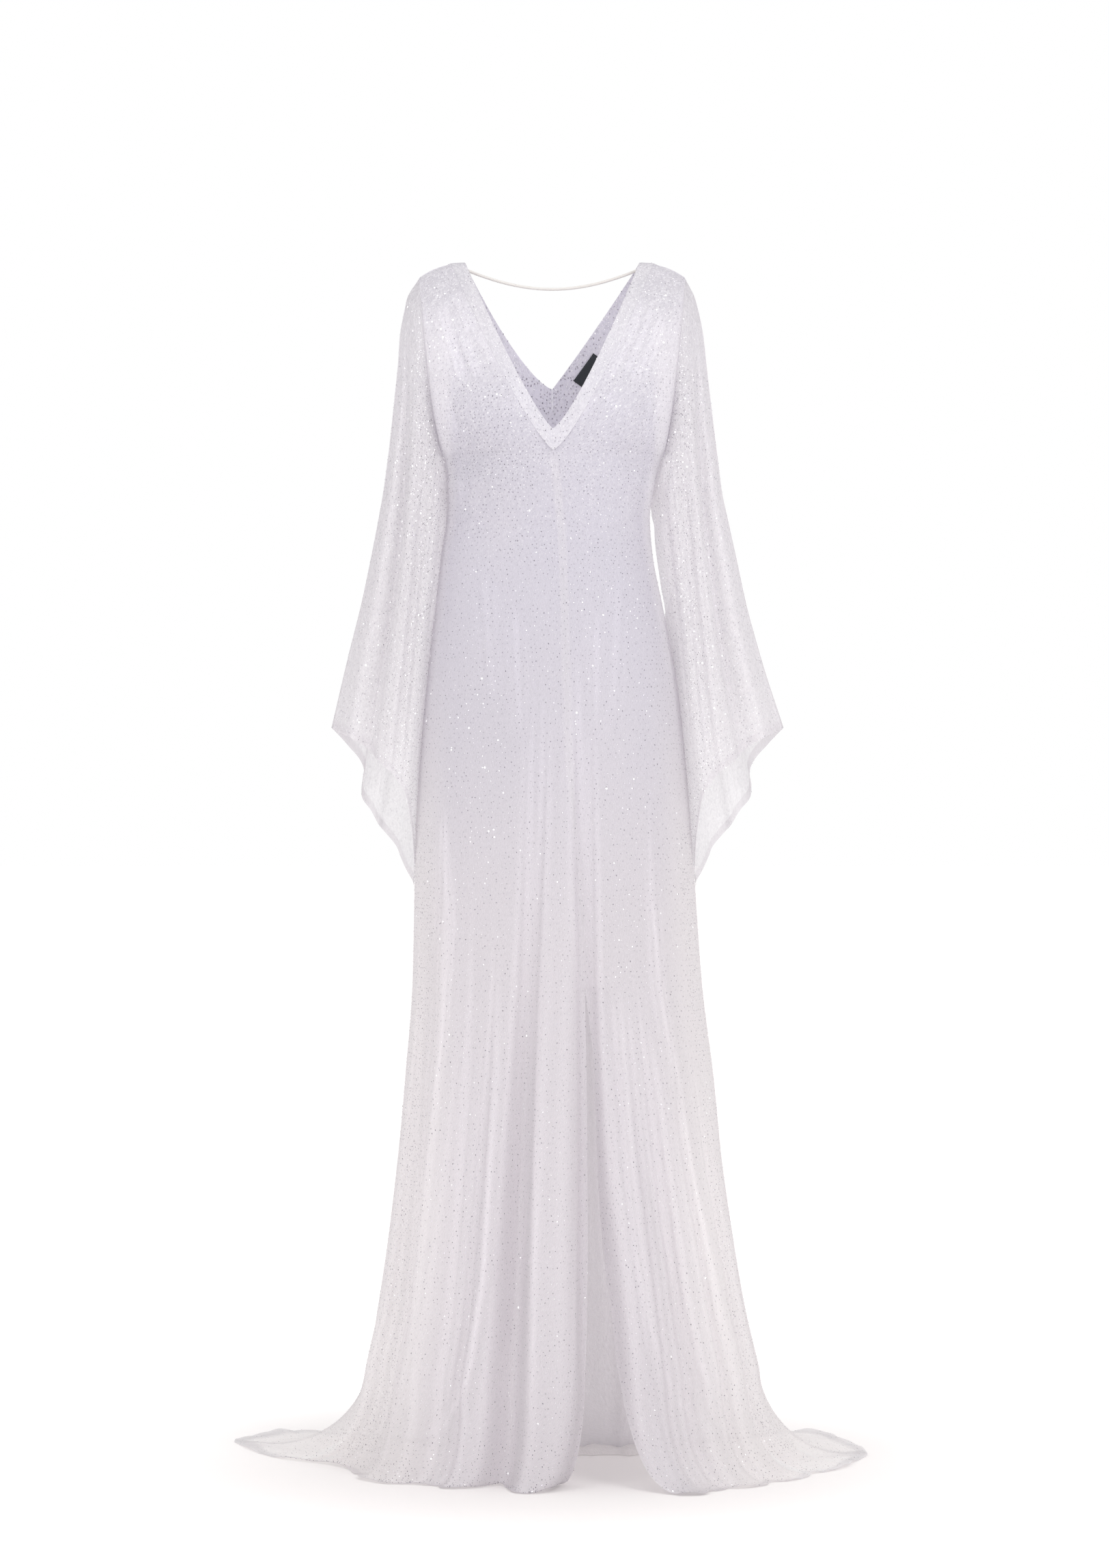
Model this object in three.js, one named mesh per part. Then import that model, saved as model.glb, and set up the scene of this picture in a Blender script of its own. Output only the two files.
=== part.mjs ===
import * as THREE from 'three';

// A floor-length kaftan gown in a sheer glitter knit, standing open as if worn, with nobody in it.
// Millimetres, +Z up. The front faces -Y and the wearer's left is +X.
// The origin lies between the shoulders. Heights in the tables below are above the floor.

// Driving sizes
const SHOULDER_HEIGHT = 1565;
const WALL = 1.5;
const SEAM_GAP = 0.3;
const NECK_POINT_HEIGHT = 1587;
const NECK_HALF_WIDTH = 115;
const BAND_WIDTH = 19;
const FRONT_V_HEIGHT = 1359;
const FRONT_BAND_TIP_HEIGHT = 1331;
const BACK_V_HEIGHT = 1428;
const BACK_BAND_TIP_HEIGHT = 1401;
const UNDERARM_HEIGHT = 1330;
const UNDERARM_HALF_WIDTH = 143;
const SHOULDER_TIP_HEIGHT = 1567;
const SHOULDER_TIP_HALF_WIDTH = 174;
const ARMHOLE_HALF_DEPTH = 48;
const SLIT_TOP_HEIGHT = 640;
const FLARE_HEIGHT = 133;
const STRAP_DIAMETER = 4;
const STRAP_SAG = 25;
const STRAP_BOW = 26;
const STRAP_LAP = 6;
const STRAP_SEAT = 1.3;
const STRAP_RISE = 0.988;
const LABEL_LENGTH = 45;
const LABEL_WIDTH = 15;
const LABEL_THICKNESS = 1;
const LABEL_INSET = 1;
const LABEL_RISE = 0.2;

// How square the body sections are (2 is an ellipse) and how the skirt sweeps out on the floor.
const SECTION_POWER = 2.3;
const SWEEP_PLAN_POWER = 1.5;
const SWEEP_HEIGHT_POWER = 2.2;
const CLEAR_OF_BODY = 3.4;
const FLOOR_CLEARANCE = 1.2;

// Body sections: half widths on the wearer's right and left, then how far forward the centre
// front is, how far back the centre back is, and how far back the side seams are.
const BODY_SECTIONS = [
  { height: 133, right: 246, left: 269, front: 163, back: 112, seam: 50 },
  { height: 214, right: 227, left: 250, front: 157, back: 110, seam: 38 },
  { height: 295, right: 217, left: 237, front: 150, back: 107, seam: 28 },
  { height: 403, right: 206, left: 221, front: 142, back: 104, seam: 16 },
  { height: 511, right: 197, left: 210, front: 134, back: 102, seam: 9 },
  { height: 640, right: 187, left: 194, front: 127, back: 104, seam: 4 },
  { height: 780, right: 184, left: 184, front: 120, back: 111, seam: 2 },
  { height: 934, right: 179, left: 172, front: 113, back: 119, seam: 2 },
  { height: 1041, right: 170, left: 160, front: 107, back: 115, seam: 2 },
  { height: 1131, right: 158, left: 143, front: 100, back: 98, seam: 0 },
  { height: 1204, right: 149, left: 129, front: 96, back: 80, seam: 0 },
  { height: 1249, right: 141, left: 126, front: 98, back: 73, seam: 0 },
  { height: 1290, right: 139, left: 132, front: 107, back: 78, seam: 0 },
  { height: 1330, right: 143, left: 143, front: 117, back: 88, seam: 0 },
];

// Where the hem lies on the floor before the folds push it in and out. The angle runs round
// the gown from the centre front, towards the wearer's left: 90 is the left side seam.
const HEM_POINTS = [
  { angle: -180, x: 0, y: 108 },
  { angle: -160, x: -105, y: 145 },
  { angle: -140, x: -235, y: 235 },
  { angle: -120, x: -352, y: 286 },
  { angle: -105, x: -412, y: 262 },
  { angle: -90, x: -438, y: 211 },
  { angle: -75, x: -378, y: 92 },
  { angle: -60, x: -292, y: -18 },
  { angle: -48, x: -236, y: -88 },
  { angle: -35, x: -186, y: -136 },
  { angle: -21, x: -128, y: -160 },
  { angle: -8, x: -62, y: -163 },
  { angle: 2, x: -22, y: -172 },
  { angle: 7, x: 12, y: -166 },
  { angle: 18, x: 152, y: -196 },
  { angle: 30, x: 200, y: -186 },
  { angle: 43, x: 250, y: -146 },
  { angle: 57, x: 305, y: -92 },
  { angle: 75, x: 383, y: 10 },
  { angle: 90, x: 420, y: 103 },
  { angle: 105, x: 396, y: 222 },
  { angle: 120, x: 346, y: 284 },
  { angle: 140, x: 232, y: 225 },
  { angle: 160, x: 105, y: 140 },
  { angle: 180, x: 0, y: 108 },
];

// The centre front seam drifts to the wearer's left as it goes down, and opens into the slit.
const SEAM_LINE = [
  { height: 133, angle: 6.8 },
  { height: 214, angle: 8 },
  { height: 403, angle: 9.3 },
  { height: 640, angle: 9.6 },
  { height: 780, angle: 7.5 },
  { height: 980, angle: 4 },
  { height: 1126, angle: 3.6 },
  { height: 1220, angle: 3 },
  { height: 1276, angle: 1.4 },
  { height: 1331, angle: 0 },
];
const SLIT_EDGE = [
  { height: 0, angle: 18 },
  { height: 98, angle: 15.9 },
  { height: 150, angle: 14.4 },
  { height: 200, angle: 14.1 },
  { height: 317, angle: 12.6 },
  { height: 466, angle: 12 },
  { height: 545, angle: 11.8 },
  { height: 640, angle: 9.6 },
];

// Skirt folds: the angle at the top and at the foot, where each starts, how far it reaches on
// either side in degrees, and how far it stands out at the hem (less than nothing is a hollow).
const SKIRT_FOLDS = [
  { top: 1.5, foot: -1.5, start: 1130, before: 9, after: 8, depth: 42 },
  { top: -3, foot: -10.5, start: 1150, before: 7, after: 6, depth: -16 },
  { top: 9.6, foot: 8, start: 1130, before: 4, after: 6, depth: -24 },
  { top: -18, foot: -22, start: 760, before: 4, after: 10, depth: 17 },
  { top: -46, foot: -47, start: 880, before: 5, after: 15, depth: 24 },
  { top: -62, foot: -62, start: 820, before: 10, after: 9, depth: -16 },
  { top: -78, foot: -76, start: 620, before: 8, after: 8, depth: 8 },
  { top: 17, foot: 20, start: 640, before: 7, after: 9, depth: 34 },
  { top: 24, foot: 29, start: 700, before: 6, after: 7, depth: 8 },
  { top: 36, foot: 42, start: 690, before: 7, after: 9, depth: 18 },
  { top: 51, foot: 56, start: 600, before: 7, after: 8, depth: 16 },
  { top: 70, foot: 71, start: 560, before: 8, after: 8, depth: 11 },
  { top: 118, foot: 120, start: 760, before: 13, after: 13, depth: 18 },
  { top: 146, foot: 147, start: 900, before: 13, after: 13, depth: 22 },
  { top: 175, foot: 174, start: 840, before: 14, after: 14, depth: 20 },
  { top: -151, foot: -152, start: 880, before: 12, after: 12, depth: 21 },
  { top: -122, foot: -121, start: 740, before: 13, after: 13, depth: 18 },
];
const FOLD_FULL_HEIGHT = 150;

// Bust darts give the front its fullness over a general figure.
const BUST = { height: 1392, offset: 76, spreadAcross: 52, spreadUp: 58, depth: 13 };

// The cuff edge of the wearer's left sleeve. The angle runs round the sleeve from the overarm
// by the front to the underarm at 180 and on round the back.
const CUFF_POINTS = [
  { angle: 0, x: 300, y: 0, height: 974 },
  { angle: 24, x: 267, y: -33, height: 959 },
  { angle: 45, x: 252, y: -30, height: 946 },
  { angle: 66, x: 233, y: -50, height: 930 },
  { angle: 90, x: 214, y: -58, height: 913 },
  { angle: 115, x: 201, y: -54, height: 893 },
  { angle: 140, x: 193, y: -42, height: 858 },
  { angle: 162, x: 189, y: -22, height: 812 },
  { angle: 180, x: 189, y: 4, height: 766 },
  { angle: 200, x: 200, y: 28, height: 785 },
  { angle: 225, x: 213, y: 50, height: 813 },
  { angle: 250, x: 233, y: 60, height: 840 },
  { angle: 275, x: 246, y: 60, height: 863 },
  { angle: 300, x: 259, y: 52, height: 886 },
  { angle: 320, x: 260, y: 36, height: 916 },
  { angle: 340, x: 276, y: 22, height: 947 },
  { angle: 360, x: 300, y: 0, height: 974 },
];

// How the overarm, on each side, and the underarm bow outwards from a straight line to the cuff.
const SLEEVE_BOW = [
  { along: 0, right: 0, left: 0, under: 0 },
  { along: 0.05, right: 11, left: 8, under: -8 },
  { along: 0.1, right: 11, left: 9, under: -15 },
  { along: 0.2, right: 4, left: 4, under: -20 },
  { along: 0.3, right: -2, left: -2, under: -17 },
  { along: 0.4, right: -7, left: -8, under: -14 },
  { along: 0.5, right: -10, left: -13, under: -11 },
  { along: 0.7, right: -11, left: -13, under: -9 },
  { along: 0.85, right: -8, left: -8, under: -7 },
  { along: 1, right: -6, left: 2, under: -5 },
];

// How far the back of each sleeve tucks in behind the body. The wearer's left sleeve stands off
// the waist for a stretch.
const SLEEVE_TUCK = { angle: 215, reach: 45, depth: 18 };
const LEFT_STAND_OFF = { start: 0.07, from: 0.12, to: 0.34, end: 0.44 };

// The whole yoke sits a little over to the wearer's right.
const YOKE_SHIFT = { across: -3, from: 1180, to: 1450 };

// Long sleeve folds: the angle, the reach on either side, and the depth when fully grown.
const SLEEVE_FOLDS = [
  { angle: 22, reach: 20, depth: 9 },
  { angle: 46, reach: 17, depth: -12 },
  { angle: 74, reach: 17, depth: 10 },
  { angle: 98, reach: 14, depth: -8 },
  { angle: 122, reach: 16, depth: 8 },
  { angle: 238, reach: 18, depth: 8 },
  { angle: 264, reach: 15, depth: -8 },
  { angle: 296, reach: 18, depth: 9 },
  { angle: 326, reach: 15, depth: -10 },
];

// Rows of each piece, counted from the hem up
const SWEEP_STEPS = [1, 0.8, 0.6, 0.38, 0.18];
const SKIRT_ROWS = [133, 187, 250, 325, 415, 520, 640, 710, 790, 880, 980, 1080, 1155, 1215, 1255, 1292];
const FRONT_YOKE_RISES = [0, 0.14, 0.28, 0.42, 0.56, 0.69, 0.8, 0.89, 0.96, 1];
const BACK_YOKE_RISES = [0, 0.2, 0.4, 0.58, 0.74, 0.87, 0.95, 1];
const FRONT_RIGHT_COLUMNS = 24;
const FRONT_LEFT_COLUMNS = 20;
const BACK_HALF_COLUMNS = 13;
const SLEEVE_ROWS = [0, 0.03, 0.07, 0.13, 0.2, 0.3, 0.4, 0.5, 0.6, 0.7, 0.8, 0.9, 1];
const SLEEVE_COLUMNS = 26;
const STRAP_STEPS = 26;
const STRAP_ARC_SEGMENTS = 4;

const DEGREES = Math.PI / 180;

function mix(a, b, t) {
  return a + (b - a) * t;
}

function easeBetween(low, high, value) {
  const t = Math.min(1, Math.max(0, (value - low) / (high - low)));
  return t * t * (3 - 2 * t);
}

// Reads a column of a table at any key, on a smooth curve through its rows.
function readTable(rows, key, column, at) {
  const last = rows.length - 1;
  if (at <= rows[0][key]) return rows[0][column];
  if (at >= rows[last][key]) return rows[last][column];
  let i = 0;
  while (rows[i + 1][key] < at) i += 1;
  const slope = (a, b) => (rows[b][column] - rows[a][column]) / (rows[b][key] - rows[a][key]);
  const here = slope(i, i + 1);
  const before = i > 0 ? slope(i - 1, i) : here;
  const after = i + 2 <= last ? slope(i + 1, i + 2) : here;
  const steady = (a, b) => (a * b <= 0 ? 0 : (2 * a * b) / (a + b));
  const span = rows[i + 1][key] - rows[i][key];
  const t = (at - rows[i][key]) / span;
  const start = i > 0 ? steady(before, here) : here;
  const end = i + 2 <= last ? steady(here, after) : here;
  const t2 = t * t;
  const t3 = t2 * t;
  return (
    rows[i][column] * (2 * t3 - 3 * t2 + 1) +
    start * span * (t3 - 2 * t2 + t) +
    rows[i + 1][column] * (3 * t2 - 2 * t3) +
    end * span * (t3 - t2)
  );
}

// A soft fold: 1 on its line, 0 beyond its reach, with a rounded top.
function foldShape(offset, before, after) {
  const q = Math.abs(offset / (offset < 0 ? before : after));
  return q >= 1 ? 0 : (1 - q ** 3) ** 2;
}

// Turns an angle difference into the range -180 to 180.
function wrapAngle(angle) {
  return ((((angle + 180) % 360) + 360) % 360) - 180;
}

// A point of the body section at a height, before any fold, and its outward direction.
function bodySection(height, angle) {
  const column = (name) => readTable(BODY_SECTIONS, 'height', name, height);
  const turn = wrapAngle(angle) * DEGREES;
  const across = Math.sin(turn);
  const along = Math.cos(turn);
  const power = 2 / SECTION_POWER;
  const halfWidth = column(across < 0 ? 'right' : 'left');
  const seam = column('seam');
  const depth = along > 0 ? column('front') + seam : column('back') - seam;
  const x = halfWidth * Math.sign(across) * Math.abs(across) ** power;
  const y = seam - depth * Math.sign(along) * Math.abs(along) ** power;
  const out = new THREE.Vector2(x / halfWidth ** 2, (y - seam) / depth ** 2).normalize();
  return { x, y, out };
}

function skirtFold(height, angle) {
  let push = 0;
  for (const fold of SKIRT_FOLDS) {
    const grown = 1 - easeBetween(FOLD_FULL_HEIGHT, fold.start, height);
    const centre = mix(fold.foot, fold.top, easeBetween(FOLD_FULL_HEIGHT, fold.start, height));
    push += fold.depth * grown * foldShape(wrapAngle(angle - centre), fold.before, fold.after);
  }
  return push;
}

function bustPush(x, height) {
  const across = (Math.abs(x) - BUST.offset) / BUST.spreadAcross;
  const up = (height - BUST.height) / BUST.spreadUp;
  return BUST.depth * Math.exp(-across * across - up * up);
}

// A cloth point, with the direction that its outer face looks in worked out from its surroundings.
function clothPoint(place, a, b, stepA, stepB) {
  const alongA = place(a + stepA, b).sub(place(a - stepA, b));
  const alongB = place(a, b + stepB).sub(place(a, b - stepB));
  return { point: place(a, b), normal: alongA.cross(alongB).normalize() };
}

// A point on the body between the flare and the underarm.
function bodyPoint(angle, height) {
  const base = bodySection(height, angle);
  const push = skirtFold(height, angle);
  const y = base.y + base.out.y * push;
  const bust = y < 0 ? bustPush(base.x, height) : 0;
  return new THREE.Vector3(base.x + base.out.x * push, y - bust, height);
}

// A point where the skirt sweeps out over the floor: 0 at the flare height, -1 at the hem.
function sweepPoint(angle, level) {
  const sweep = Math.min(1, Math.max(0, -level));
  const base = bodySection(FLARE_HEIGHT, angle);
  const push = skirtFold(FLARE_HEIGHT, angle);
  const hemX = readTable(HEM_POINTS, 'angle', 'x', wrapAngle(angle));
  const hemY = readTable(HEM_POINTS, 'angle', 'y', wrapAngle(angle));
  const outward = sweep ** SWEEP_PLAN_POWER;
  const x = mix(base.x, hemX, outward) + base.out.x * push;
  const y = mix(base.y, hemY, outward) + base.out.y * push;
  const height = FLOOR_CLEARANCE + (FLARE_HEIGHT - FLOOR_CLEARANCE) * (1 - sweep) ** SWEEP_HEIGHT_POWER;
  return new THREE.Vector3(x, y, height);
}

// The armhole edge, from 0 at the underarm to 1 at the shoulder tip. Front is -1, back is 1.
function armholePoint(rise, face) {
  const x = mix(UNDERARM_HALF_WIDTH, SHOULDER_TIP_HALF_WIDTH, rise ** 0.6);
  const y = face * ARMHOLE_HALF_DEPTH * Math.sqrt(Math.max(0, 1 - (2 * rise - 1) ** 2));
  return new THREE.Vector3(x, y, mix(UNDERARM_HEIGHT, SHOULDER_TIP_HEIGHT, rise));
}

// The shoulder line, highest beside the neck.
function shoulderHeight(x) {
  const run = SHOULDER_TIP_HALF_WIDTH - NECK_HALF_WIDTH;
  const t = Math.min(1, Math.max(0, (Math.abs(x) - NECK_HALF_WIDTH) / run));
  return NECK_POINT_HEIGHT - 8 * t - (NECK_POINT_HEIGHT - SHOULDER_TIP_HEIGHT - 8) * t ** 3;
}

// How far forward or back the yoke stands from the middle of the shoulder.
function yokeDepth(x, height, face) {
  const top = shoulderHeight(x);
  const rise = Math.min(1, Math.max(0, (height - UNDERARM_HEIGHT) / (top - UNDERARM_HEIGHT)));
  const lowest = BODY_SECTIONS[BODY_SECTIONS.length - 1];
  const chest = lowest.front * (1 - rise ** 1.9) ** 0.75;
  const shoulderBlade = lowest.back * (1 - rise ** 2.6) ** 0.6;
  const armhole = armholePoint(rise, face);
  const edge = Math.abs(armhole.y);
  const ratio = Math.min(1, Math.abs(x) / armhole.x);
  const bulge = (1 - ratio ** SECTION_POWER) ** (1 / SECTION_POWER);
  const centre = Math.max(face < 0 ? chest : shoulderBlade, edge);
  const bust = face < 0 ? bustPush(x, height) * Math.min(1, 4 * (1 - rise)) : 0;
  return mix(edge, centre, bulge) + bust;
}

// A point of the yoke and its outward direction. Face is -1 in front and 1 behind.
function yokePoint(x, height, face) {
  const step = 1;
  const slopeX = (yokeDepth(x + step, height, face) - yokeDepth(x - step, height, face)) / (2 * step);
  const slopeUp = (yokeDepth(x, height + step, face) - yokeDepth(x, height - step, face)) / (2 * step);
  const depth = Math.max(yokeDepth(x, height, face), SEAM_GAP / 2);
  const normal = new THREE.Vector3(-slopeX, face, -slopeUp).normalize();
  if (height > shoulderHeight(x) - step) normal.setY(0).normalize();
  return { point: new THREE.Vector3(x, face * depth, height), normal };
}

function mirrorAcross({ point, normal }) {
  const flip = new THREE.Vector3(-1, 1, 1);
  return { point: point.clone().multiply(flip), normal: normal.clone().multiply(flip) };
}

// The V openings: the finished edge of the band, and the line where the band meets the gown.
// The bend says how hollow each edge is, and 1 is straight.
const FRONT_NECK = {
  face: -1, tip: FRONT_V_HEIGHT, bandTip: FRONT_BAND_TIP_HEIGHT, right: 0.83, left: 0.83,
};
const BACK_NECK = {
  face: 1, tip: BACK_V_HEIGHT, bandTip: BACK_BAND_TIP_HEIGHT, right: 0.72, left: 0.97,
};
const BAND_BEND = 0.97;

function neckEdge(neck, side, rise, acrossBand) {
  const bend = side < 0 ? neck.right : neck.left;
  const edgeX = NECK_HALF_WIDTH * rise ** bend;
  const seamX = (NECK_HALF_WIDTH + BAND_WIDTH) * rise ** (bend * BAND_BEND);
  const edgeHeight = mix(neck.tip, NECK_POINT_HEIGHT, rise);
  const seamHeight = mix(neck.bandTip, NECK_POINT_HEIGHT - 1, rise);
  return { x: mix(edgeX, seamX, acrossBand), height: mix(edgeHeight, seamHeight, acrossBand) };
}

// The edge of a panel beside its band, a seam gap outside it.
function panelNeckEdge(neck, side, rise) {
  const { x, height } = neckEdge(neck, side, rise, 1);
  return { x: rise > 0 ? x + SEAM_GAP / 2 : 0, height: height - 2 * SEAM_GAP * (1 - rise) };
}

// A point of the yoke between its inner edge (0) and the armhole (1).
function yokeRowPoint(inner, rise, share, face) {
  const armhole = armholePoint(rise, face);
  const x = mix(inner.x, armhole.x, share);
  const height = mix(inner.height, armhole.z, share);
  const made = yokePoint(x, height, face);
  if (share === 1) made.point.setY(face * Math.max(Math.abs(armhole.y), SEAM_GAP / 2));
  if (share === 1 && rise === 0) made.normal.set(1, 0, 0);
  return made;
}

// Moves a finished piece from heights above the floor to the origin between the shoulders.
function settle(geometry) {
  const position = geometry.getAttribute('position');
  for (let i = 0; i < position.count; i += 1) {
    const shift = YOKE_SHIFT.across * easeBetween(YOKE_SHIFT.from, YOKE_SHIFT.to, position.getZ(i));
    position.setX(i, position.getX(i) + shift);
  }
  geometry.translate(0, 0, -SHOULDER_HEIGHT);
  geometry.computeVertexNormals();
  return geometry;
}

// Builds a closed cloth wall round sheets of cloth points that share edges. Each sheet is a list
// of rows of keys into the points. Edges used once become the cut edge of the cloth.
function clothSolid(points, sheets, thickness = WALL) {
  const faces = [];
  for (const sheet of sheets) {
    for (let i = 0; i + 1 < sheet.length; i += 1) {
      for (let j = 0; j + 1 < sheet[i].length; j += 1) {
        faces.push([sheet[i][j], sheet[i][j + 1], sheet[i + 1][j + 1]]);
        faces.push([sheet[i][j], sheet[i + 1][j + 1], sheet[i + 1][j]]);
      }
    }
  }
  const count = points.length;
  const positions = new Float32Array(count * 6);
  points.forEach(({ point, normal }, key) => {
    const half = normal.clone().multiplyScalar(thickness / 2);
    point.clone().add(half).toArray(positions, key * 3);
    point.clone().sub(half).toArray(positions, (count + key) * 3);
  });
  const index = [];
  const edges = new Map();
  for (const [a, b, c] of faces) {
    index.push(a, b, c, count + a, count + c, count + b);
    for (const [from, to] of [[a, b], [b, c], [c, a]]) edges.set(`${from}_${to}`, [from, to]);
  }
  for (const [from, to] of edges.values()) {
    if (!edges.has(`${to}_${from}`)) index.push(from, count + from, count + to, from, count + to, to);
  }
  const geometry = new THREE.BufferGeometry();
  geometry.setAttribute('position', new THREE.BufferAttribute(positions, 3));
  geometry.setIndex(index);
  return settle(geometry);
}

// Makes one sheet of points from rows, and gives its keys.
function addRows(points, rows) {
  return rows.map((row) => row.map((point) => points.push(point) - 1));
}

// The angle a seam gap takes up beside a seam, on a section about this wide.
function gapAngle(height) {
  return SEAM_GAP / 2 / readTable(BODY_SECTIONS, 'height', 'front', height) / DEGREES;
}

function seamAngle(height) {
  return readTable(SEAM_LINE, 'height', 'angle', height);
}

function slitAngle(height) {
  if (height >= SLIT_TOP_HEIGHT) return seamAngle(height);
  return readTable(SLIT_EDGE, 'height', 'angle', height);
}

// Rows of a front panel between two lines of angles, hem to underarm.
function lowerRows(columns, startAngle, endAngle) {
  const rows = [];
  const rowOf = (height, place) => {
    const from = startAngle(height);
    const to = endAngle(height);
    const row = [];
    for (let j = 0; j <= columns; j += 1) row.push(place(mix(from, to, j / columns)));
    return row;
  };
  for (const sweep of SWEEP_STEPS) {
    const place = (angle) => clothPoint(sweepPoint, angle, -sweep, 1, 0.03);
    rows.push(rowOf(FLARE_HEIGHT * (1 - sweep), place));
  }
  for (const height of SKIRT_ROWS) {
    rows.push(rowOf(height, (angle) => clothPoint(bodyPoint, angle, height, 1, 5)));
  }
  return rows;
}

// One half of the front. Side is -1 for the wearer's right and 1 for the left.
function frontPanel(side) {
  const columns = side < 0 ? FRONT_RIGHT_COLUMNS : FRONT_LEFT_COLUMNS;
  const sideLine = (height) => side * (90 - gapAngle(height));
  const centreLine = (height) => (side < 0 ? seamAngle(height) : slitAngle(height)) + side * gapAngle(height);
  const [from, to] = side < 0 ? [sideLine, centreLine] : [centreLine, sideLine];
  const rows = lowerRows(columns, from, to);
  for (const rise of FRONT_YOKE_RISES) {
    const inner = panelNeckEdge(FRONT_NECK, side, rise);
    inner.x = Math.max(inner.x, SEAM_GAP / 2);
    const row = [];
    for (let j = 0; j <= columns; j += 1) {
      const share = side < 0 ? 1 - j / columns : j / columns;
      const made = yokeRowPoint(inner, rise, share, FRONT_NECK.face);
      row.push(side < 0 ? mirrorAcross(made) : made);
    }
    rows.push(row);
  }
  const points = [];
  return clothSolid(points, [addRows(points, rows)]);
}

// The back is one piece. Its yoke splits into two sides round the V.
function backPanel() {
  const points = [];
  const from = (height) => 90 + gapAngle(height);
  const to = (height) => 270 - gapAngle(height);
  const below = addRows(points, lowerRows(2 * BACK_HALF_COLUMNS, from, to));
  const tipRise = (BACK_BAND_TIP_HEIGHT - UNDERARM_HEIGHT) / (NECK_POINT_HEIGHT - UNDERARM_HEIGHT);
  const halfRow = (inner, rise) => {
    const half = [];
    for (let j = 0; j <= BACK_HALF_COLUMNS; j += 1) {
      half.push(yokeRowPoint(inner, rise, 1 - j / BACK_HALF_COLUMNS, BACK_NECK.face));
    }
    return half;
  };
  const mirrored = (half) => half.map(mirrorAcross).reverse();
  for (const share of [0, 0.5, 1]) {
    const height = mix(UNDERARM_HEIGHT, panelNeckEdge(BACK_NECK, 1, 0).height, share);
    const half = halfRow({ x: 0, height }, share * tipRise);
    below.push(...addRows(points, [[...half, ...mirrored(half).slice(1)]]));
  }
  const tipRow = below[below.length - 1];
  const leftSheet = [tipRow.slice(0, BACK_HALF_COLUMNS + 1)];
  const rightSheet = [tipRow.slice(BACK_HALF_COLUMNS)];
  for (const neckRise of BACK_YOKE_RISES.slice(1)) {
    const rise = mix(tipRise, 1, neckRise);
    leftSheet.push(...addRows(points, [halfRow(panelNeckEdge(BACK_NECK, 1, neckRise), rise)]));
    rightSheet.push(...addRows(points, [mirrored(halfRow(panelNeckEdge(BACK_NECK, -1, neckRise), rise))]));
  }
  return clothSolid(points, [below, leftSheet, rightSheet]);
}

// One side of a neck band, from the mitre at the V to the shoulder seam.
function neckBand(neck, side) {
  const points = [];
  const rows = [];
  for (const rise of neck.face < 0 ? FRONT_YOKE_RISES : BACK_YOKE_RISES) {
    const row = [0, 0.5, 1].map((across) => {
      const edge = neckEdge(neck, side, rise, across);
      const inset = across === 1 ? SEAM_GAP / 2 : 0;
      const made = yokePoint(Math.max(edge.x - inset, SEAM_GAP / 2), edge.height, neck.face);
      if (rise === 0) made.normal.setX(0).normalize();
      return side < 0 ? mirrorAcross(made) : made;
    });
    rows.push(side * neck.face > 0 ? row.reverse() : row);
  }
  return clothSolid(points, [addRows(points, rows)]);
}

// The widest the body reaches at a height and a depth, on one side.
function bodyReach(height, y, side) {
  const at = Math.max(height, FLARE_HEIGHT);
  const seam = readTable(BODY_SECTIONS, 'height', 'seam', at);
  const halfWidth = readTable(BODY_SECTIONS, 'height', side < 0 ? 'right' : 'left', at);
  const depth = y < seam
    ? readTable(BODY_SECTIONS, 'height', 'front', at) + seam
    : readTable(BODY_SECTIONS, 'height', 'back', at) - seam;
  const ratio = Math.min(1, Math.abs(y - seam) / depth);
  return halfWidth * (1 - ratio ** SECTION_POWER) ** (1 / SECTION_POWER);
}

// How far a point of the sleeve tucks in behind the body.
function sleeveTuck(angle, along, side) {
  const off = LEFT_STAND_OFF;
  const standsOff = easeBetween(off.start, off.from, along) - easeBetween(off.to, off.end, along);
  const share = (side > 0 ? 1 - standsOff : 1) * (1 - easeBetween(0.7, 0.98, along));
  const turned = wrapAngle(angle - SLEEVE_TUCK.angle);
  return SLEEVE_TUCK.depth * share * foldShape(turned, SLEEVE_TUCK.reach, SLEEVE_TUCK.reach);
}

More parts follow.
